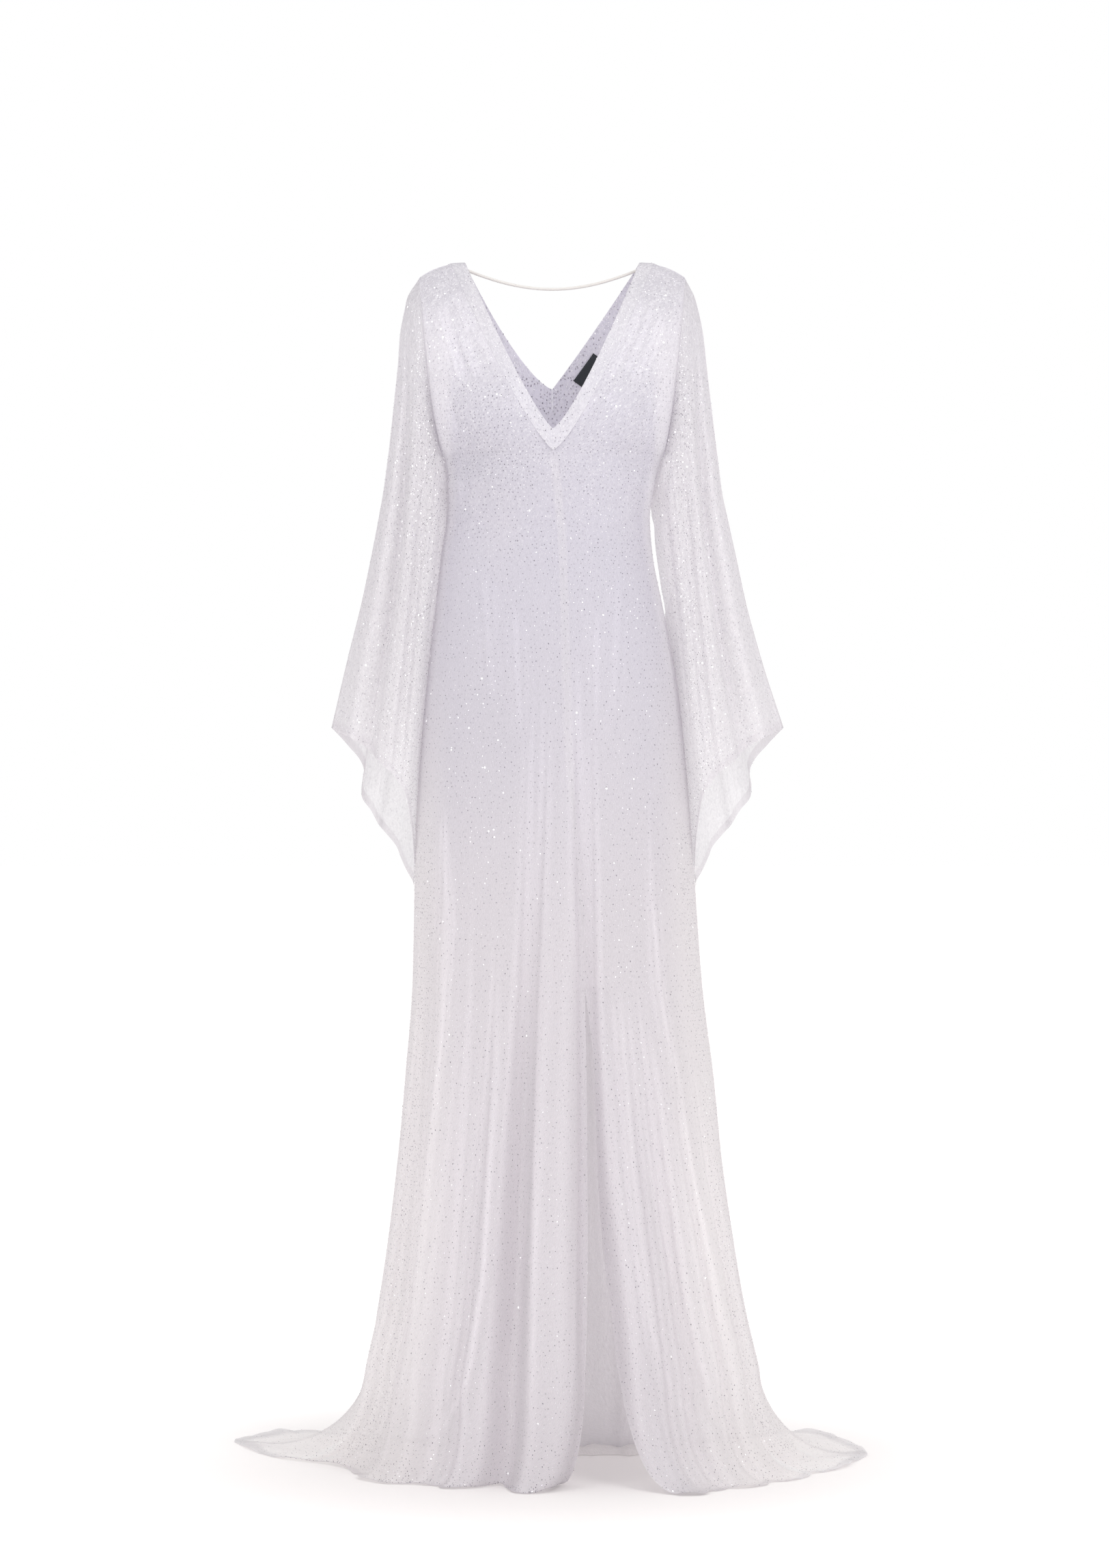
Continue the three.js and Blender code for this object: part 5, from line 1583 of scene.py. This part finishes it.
# %% More sequins where one sheer layer shows them, at the sides of the skirt
SIDE_PITCH = evenly(5.2)
FIRST_SIDE_ROW, SIDE_ROWS_OF_SKIRT = 13, 130
RIGHT_SIDE, LEFT_SIDE = slice(0, 46), slice(-42, None)
side_rows = slice(FIRST_SIDE_ROW, len(SWEEPS) + SIDE_ROWS_OF_SKIRT)
for word, points, normals, columns in (
    ("right", front_right_mm, front_right_out, RIGHT_SIDE),
    ("left", front_left_mm, front_left_out, LEFT_SIDE),
):
    sequin_sheets.append(sequin_sheet(
        f"sequins_side_{word}", points[side_rows, columns], normals[side_rows, columns], SIDE_PITCH,
        28, size=0.85, dark=0.25, silver=0.3))
print("with those at the sides", len(sequin_sheets), "sheets")

# %% Sequins on the sleeves
def sleeve_spacing(share):
    return 5.8 - 0.9 * share


for word, seed in (("right", 31), ("left", 32)):
    sequin_sheets.append(sequin_sheet(
        f"sequins_sleeve_{word}", sleeves[word], sleeves_out[word], sleeve_spacing, seed,
        around=True, size=0.95, dark=0.10, silver=0.6))
print(len(sequin_sheets), "sheets of sequins")

# %% [markdown]
# ## Sparkles
# A few sequins happen to face the lamps and shine out much brighter than the rest. They are
# slightly larger discs here, flat on the cloth, in a foil with a little painted glow of its own.

# %% Sparkles
def make_flash():
    material, _, _, shader = new_material("sequin_flash")
    shader.inputs["Base Color"].default_value = (1, 1, 1, 1)
    shader.inputs["Metallic"].default_value = 0.6
    shader.inputs["Roughness"].default_value = 0.2
    # The glow is painted light, standing in for the flash of the lamps.
    shader.inputs["Emission Color"].default_value = (1, 1, 1, 1)
    shader.inputs["Emission Strength"].default_value = 0.55
    return material


DISC_RADII, DISC_SHARES = [0.6, 0.85, 1.1, 1.35], (0.45, 0.3, 0.17, 0.08)
DISC_LIFT = 0.9


def sparkles(name, points, normals, count, seed, around=False):
    maker = np.random.default_rng(seed)
    spots = np.stack([
        maker.uniform(0.03, 0.97, count) * (len(points) - 1),
        maker.uniform(0.02, 0.98, count) * (points.shape[1] - 1),
    ], axis=-1)
    centre = sample(points, spots, around)
    normal = unit(sample(normals, spots, around))
    side = unit(np.cross(normal, [0.05, 0.1, 1.0]))
    up = np.cross(side, normal)
    turn = np.arange(8) * np.pi / 4
    radius = maker.choice(DISC_RADII, count, p=DISC_SHARES)[:, None, None]
    rim = side[:, None] * np.cos(turn)[None, :, None] + up[:, None] * np.sin(turn)[None, :, None]
    return small_faces(name, centre[:, None] + normal[:, None] * DISC_LIFT + rim * radius, flash)


flash = make_flash()
BODICE_ROWS = slice(120, None)
sparkle_sheets = [
    sparkles("sparkles_front_right", front_right_mm[BODICE_ROWS], front_right_out[BODICE_ROWS], 60, 41),
    sparkles("sparkles_front_left", front_left_mm[BODICE_ROWS], front_left_out[BODICE_ROWS], 52, 42),
    sparkles("sparkles_skirt_right", front_right_mm, front_right_out, 40, 43),
    sparkles("sparkles_skirt_left", front_left_mm, front_left_out, 36, 44),
    sparkles("sparkles_back", below_mm, below_out, 90, 45),
    sparkles("sparkles_back_left", *back_sides[0], 24, 46),
    sparkles("sparkles_back_right", *back_sides[1], 24, 47),
    sparkles("sparkles_sleeve_right", sleeves["right"], sleeves_out["right"], 150, 48, around=True),
    sparkles("sparkles_sleeve_left", sleeves["left"], sleeves_out["left"], 150, 49, around=True),
]
print(len(sparkle_sheets), "sheets of sparkles")

# %% [markdown]
# ## The label
# A small black woven tape is sewn inside the back beside the V. It is plain and bare. A woven
# tape is flat with cut ends and a fine crosswise rib, so a thin strip with a ribbed bump is all
# it needs.

# %% Label
def make_tape():
    material, nodes, links, shader = new_material("woven_tape")
    uv = nodes.new("ShaderNodeUVMap").outputs["UV"]
    ribs = noise(nodes, links, uv, scale=1500, detail=2, stretch=(0.25, 2.5, 1))
    colour = blend_colours(nodes, links, ribs, (0.006, 0.009, 0.013), (0.03, 0.036, 0.045))
    links.new(colour, shader.inputs["Base Color"])
    shader.inputs["Roughness"].default_value = 0.55
    add_bump(nodes, links, shader, ribs, strength=0.5, distance=0.0002)
    return material


LABEL = {"length": 45.0, "width": 15.0, "thickness": 1.0, "stands_in": 1.35, "overlap": 1.5}


def label_rows():
    """A flat strip that follows the inside of the back, beside the V."""
    low, high = (np.array(neck_edge(BACK_NECK, 1, rise, 1)) for rise in (0.2, 0.4))
    lengthways = (high - low) / np.hypot(*(high - low))
    sideways = np.array([lengthways[1], -lengthways[0]])
    out = -LABEL["overlap"] + np.linspace(0, LABEL["width"], 7)
    faces = []
    for lift in (LABEL["stands_in"] + LABEL["thickness"] / 2, LABEL["stands_in"] - LABEL["thickness"] / 2):
        rows = []
        for up in np.linspace(0, LABEL["length"], 19):
            x = low[0] + lengthways[0] * up + sideways[0] * out
            height = low[1] + lengthways[1] * up + sideways[1] * out
            rows.append(np.stack([x, yoke_depth(x, height, 1) - lift, height], axis=-1))
        faces.append(np.array(rows))
    return np.concatenate([faces[0], faces[1][:, ::-1]], axis=1)


label_points = label_rows()
label = grid_mesh("woven_label", settle(label_points), make_tape(), around=True)
rim = label_points.shape[1]
ends = settle(np.concatenate([label_points[0], label_points[-1]])).tolist()
end_faces = [tuple(range(rim)), tuple(range(rim, 2 * rim))]
label = join_pieces([label, mesh_piece("label_ends", ends, end_faces, label.data.materials[0])])
weld(label, 0.00002)
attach(label, "root")
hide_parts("label")
print("label:", len(label.data.vertices), "points")

# %% [markdown]
# ## The cut of each sheet
# The size of each panel and sleeve is printed, its widest row and longest column, and the area
# of the fronts, the back and the bands: cloth hangs and folds, but it hardly stretches.

def cloth_area(piece):
    return sum(face.area for face in piece.data.polygons)


for name, points, around in (
    ("front_right", front_right_mm, False), ("front_left", front_left_mm, False), ("back", below_mm, False),
    ("sleeve_right", sleeves["right"], True), ("sleeve_left", sleeves["left"], True),
):
    widths = grid_arcs(points, around)[0][:, -1]
    lengths = np.linalg.norm(np.diff(points, axis=0), axis=-1).sum(axis=0)
    print(name, "widest", widths.max().round(), "longest", lengths.max().round(), "mm")
for piece in (front_right, front_left, back, *bands):
    print(piece.name, "area", round(cloth_area(piece), 4), "m2")

# %% [markdown]
# ## Floor, light and background
# The gown stands on a plain pale floor in a white room with soft studio light. The wide bright
# room gives nearly all of the light. One large lamp in front, on the wearer's left, gives the
# folds their shape and the sequins their flashes. A weaker one keeps the other side open, and a
# third one overhead lights the shoulders and the cloth on the floor.

# %% Floor
FLOOR_REACH = 40.0
# Where the glow is weak, close to the gown, it leaves a painted shadow round the hem.
GLOW, GLOW_DISTANCE = (0.09, 0.46), (1.57, 1.72)


def make_floor():
    """Pale boards whose faint glow is weak near the gown, a painted shadow, and melts into the room."""
    material, nodes, links, shader = new_material("pale_floor")
    shader.inputs["Roughness"].default_value = 0.9
    shader.inputs["Specular IOR Level"].default_value = 0.0
    shader.inputs["Base Color"].default_value = (0.82, 0.79, 0.782, 1)
    shader.inputs["Emission Color"].default_value = (1, 1, 1, 1)
    away = nodes.new("ShaderNodeVectorMath")
    away.operation = "LENGTH"
    links.new(nodes.new("ShaderNodeTexCoord").outputs["Object"], away.inputs[0])
    glow = spread(nodes, links, away.outputs["Value"], *GLOW, *GLOW_DISTANCE)
    links.new(glow, shader.inputs["Emission Strength"])
    return material


corners = [(x * FLOOR_REACH, y * FLOOR_REACH, FLOOR_Z) for x, y in ((-1, -1), (1, -1), (1, 1), (-1, 1))]
floor = mesh_piece("floor", corners, [(0, 1, 2, 3)], make_floor())
print("floor", round(FLOOR_Z, 3), "m below the shoulders")

# %% Light
ROOM_LIGHT, ROOM_SEEN = 0.76, 1.0
world = bpy.data.worlds.new("white_room")
bpy.context.scene.world = world
world.use_nodes = True
world_nodes, world_links = world.node_tree.nodes, world.node_tree.links
background = world_nodes["Background"]
background.inputs["Color"].default_value = (1.0, 1.0, 1.0, 1)
rays = world_nodes.new("ShaderNodeLightPath")
strength = world_nodes.new("ShaderNodeMapRange")
strength.inputs["To Min"].default_value = ROOM_LIGHT
strength.inputs["To Max"].default_value = ROOM_SEEN
world_links.new(rays.outputs["Is Camera Ray"], strength.inputs["Value"])
world_links.new(strength.outputs["Result"], background.inputs["Strength"])


def lamp(name, place, target, size, power):
    data = bpy.data.lights.new(name, "AREA")
    data.shape = "RECTANGLE"
    data.size, data.size_y = size
    data.energy = power
    light = bpy.data.objects.new(name, data)
    light.location = place
    toward = Vector(target) - Vector(place)
    light.rotation_euler = toward.to_track_quat("-Z", "Y").to_euler()
    bpy.context.scene.collection.objects.link(light)
    print(name, power, "W")


lamp("key_softbox", place=(2.3, -3.4, 1.5), target=(0, 0, -0.6), size=(1.5, 2.4), power=48)
lamp("fill_softbox", place=(-2.8, -3.2, 0.4), target=(0, 0, -0.7), size=(1.4, 2.4), power=25)
lamp("top_softbox", place=(0, -0.8, 2.4), target=(0, 0, -0.6), size=(2.6, 2.0), power=15)
bpy.context.scene.view_settings.view_transform = "Standard"
